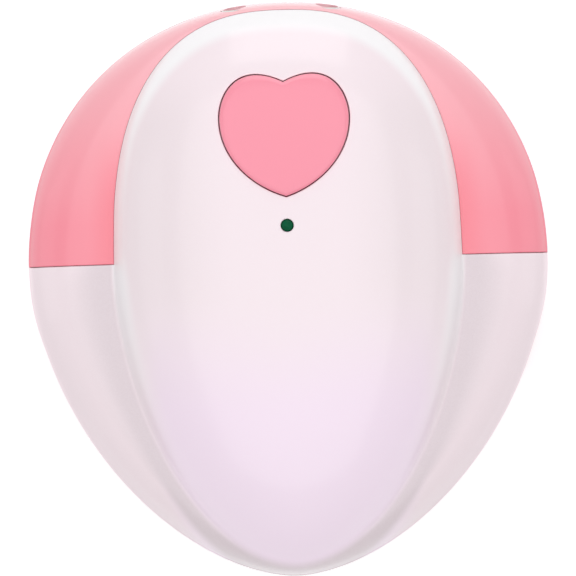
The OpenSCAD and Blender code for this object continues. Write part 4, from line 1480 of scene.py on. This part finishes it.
soft_edges = {
    "main_board": 0.12, "key_board": 0.12, "power_switch": 0.2, "switch_plunger": 0.2, "led_spacer": 0.12,
    "led_leads": 0.05, "battery_snap": 0.5, "board_ribbon": 0.08, "volume_pot": 0.25, "pot_shaft": 0.15,
    "shield_can": 0.3, "signal_chips": 0.12, "oscillator_crystal": 0.4, "probe_cup": 0.2,
    "transmit_crystal": 0.1, "receive_crystal": 0.1, "acoustic_backing": 0.3}
for node, radius in soft_edges.items():
    softened(node, radius)
for node in ("battery_lead_red", "battery_lead_black", "probe_leads"):
    smoothed(node)
spring = smoothed("button_spring")
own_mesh(spring)


# %% Capacitors and the legs of the chips
def capacitor_shape(pair):
    low, high, radius = pair[0].z, pair[1].z, (pair[1].x - pair[0].x) / 2
    foot = [(0, low), (radius - 0.2, low), (radius, low + 0.2)]
    groove = [(radius, low + 1.0), (radius - 0.25, low + 1.3), (radius, low + 1.6)]
    rim = [(radius, high - 0.3), (radius - 0.3, high), (radius - 0.6, high)]
    lid = [(radius - 0.7, high - 0.12), (0, high - 0.12)]
    return turned(foot + groove + rim + lid, tuple(middle(pair))[:2], 48)


cans = [capacitor_shape(pair) for pair in solids_mm("electrolytic_capacitors")]
adopt(make("capacitor_set", merged(*cans)), "electrolytic_capacitors")


leg_pitch = 1.27
leg_reach = 0.5


def chip_legs():
    places = []
    for low, high in solids_mm("signal_chips"):
        count = int((high.x - low.x - 0.6) / leg_pitch)
        start = (low.x + high.x) / 2 - leg_pitch * (count - 1) / 2
        rows = (low.y - leg_reach / 2, high.y + leg_reach / 2)
        for i in range(count):
            places += [(start + leg_pitch * i, y, low.z + 0.35) for y in rows]
    leg = soft_block((-0.2, -leg_reach / 2, -0.3), (0.2, leg_reach / 2, 0.2), 0.06, 2)
    return copies("chip_legs", make("leg_master", leg), places, "tinned_metal")


adopt(chip_legs(), like="battery_terminals")

# %% [markdown]
# ## Floor and light
# The picture is a cut-out on pure white. The floor is a pale plane that shows the object's soft shadow, and a
# share of plain glow lifts it to white where it is seen directly, in a reflection or through a lens. The
# world does the same there, and lights the object at a plain level everywhere else.

# %% Floor and world
plain_white = (1.0, 1.0, 1.0, 1.0)
floor_half = 3.0
floor_glow = 0.42
world_level = 0.54


def seen_directly(tree):
    """1 for a ray to the camera, from a reflection or through a lens, and 0 for all the others."""
    path = tree.nodes.new("ShaderNodeLightPath")
    rays = [Value(tree, path.outputs[f"Is {kind} Ray"]) for kind in ("Camera", "Glossy", "Transmission")]
    return (rays[0] + rays[1] + rays[2]).clamped()


def white_floor():
    finish = Finish("white_floor")
    speckle = finish.noise(30.0, 2.0)
    finish.surface(
        Base_Color=finish.mix(speckle, linear(236, 236, 236), linear(242, 242, 242)), Roughness=0.9,
        Emission_Color=plain_white, Emission_Strength=floor_glow * seen_directly(finish.tree))


white_floor()
floor_mesh = bpy.data.meshes.new("floor")
corners = [(x * floor_half, y * floor_half, 0) for x, y in ((-1, -1), (1, -1), (1, 1), (-1, 1))]
floor_mesh.from_pydata(corners, [], [(0, 1, 2, 3)])
floor_mesh.materials.append(finishes["white_floor"])
floor = add_object("floor", floor_mesh)

world = bpy.data.worlds.new("studio")
bpy.context.scene.world = world
world.use_nodes = True
background = world.node_tree.nodes["Background"]
background.inputs["Color"].default_value = plain_white
level = world_level + (1 - world_level) * seen_directly(world.node_tree)
feed(world.node_tree, background.inputs["Strength"], level)
bpy.context.scene.view_settings.view_transform = "Standard"
print("floor and world are in place")

# %% [markdown]
# The object itself is lit by four softboxes, which are square lamps. The wide one overhead does most of the
# work, the one beyond the head end brightens the rim there, and two weak ones fill the sides.

# %% Soft lights
lamp_target = Vector((0, 0, 0.02))
lamp_up = Vector((0, 0.2, 1))


def softbox(name, place, size, level):
    """Level is what the lamp adds to a white face that is turned to it."""
    place = Vector(place)
    data = bpy.data.lights.new(name, "AREA")
    data.size = size
    data.energy = level * math.pi ** 2 * place.length_squared
    aim(add_object(name, data), place, lamp_target, lamp_up)


softbox("head_softbox", (0.04, 0.72, 0.25), size=0.5, level=0.15)
softbox("top_softbox", (0.0, 0.0, 0.8), size=1.3, level=0.56)
softbox("left_softbox", (-0.75, 0.05, 0.3), size=0.4, level=0.03)
softbox("right_softbox", (0.75, 0.05, 0.3), size=0.4, level=0.03)
print("four softboxes are lit")
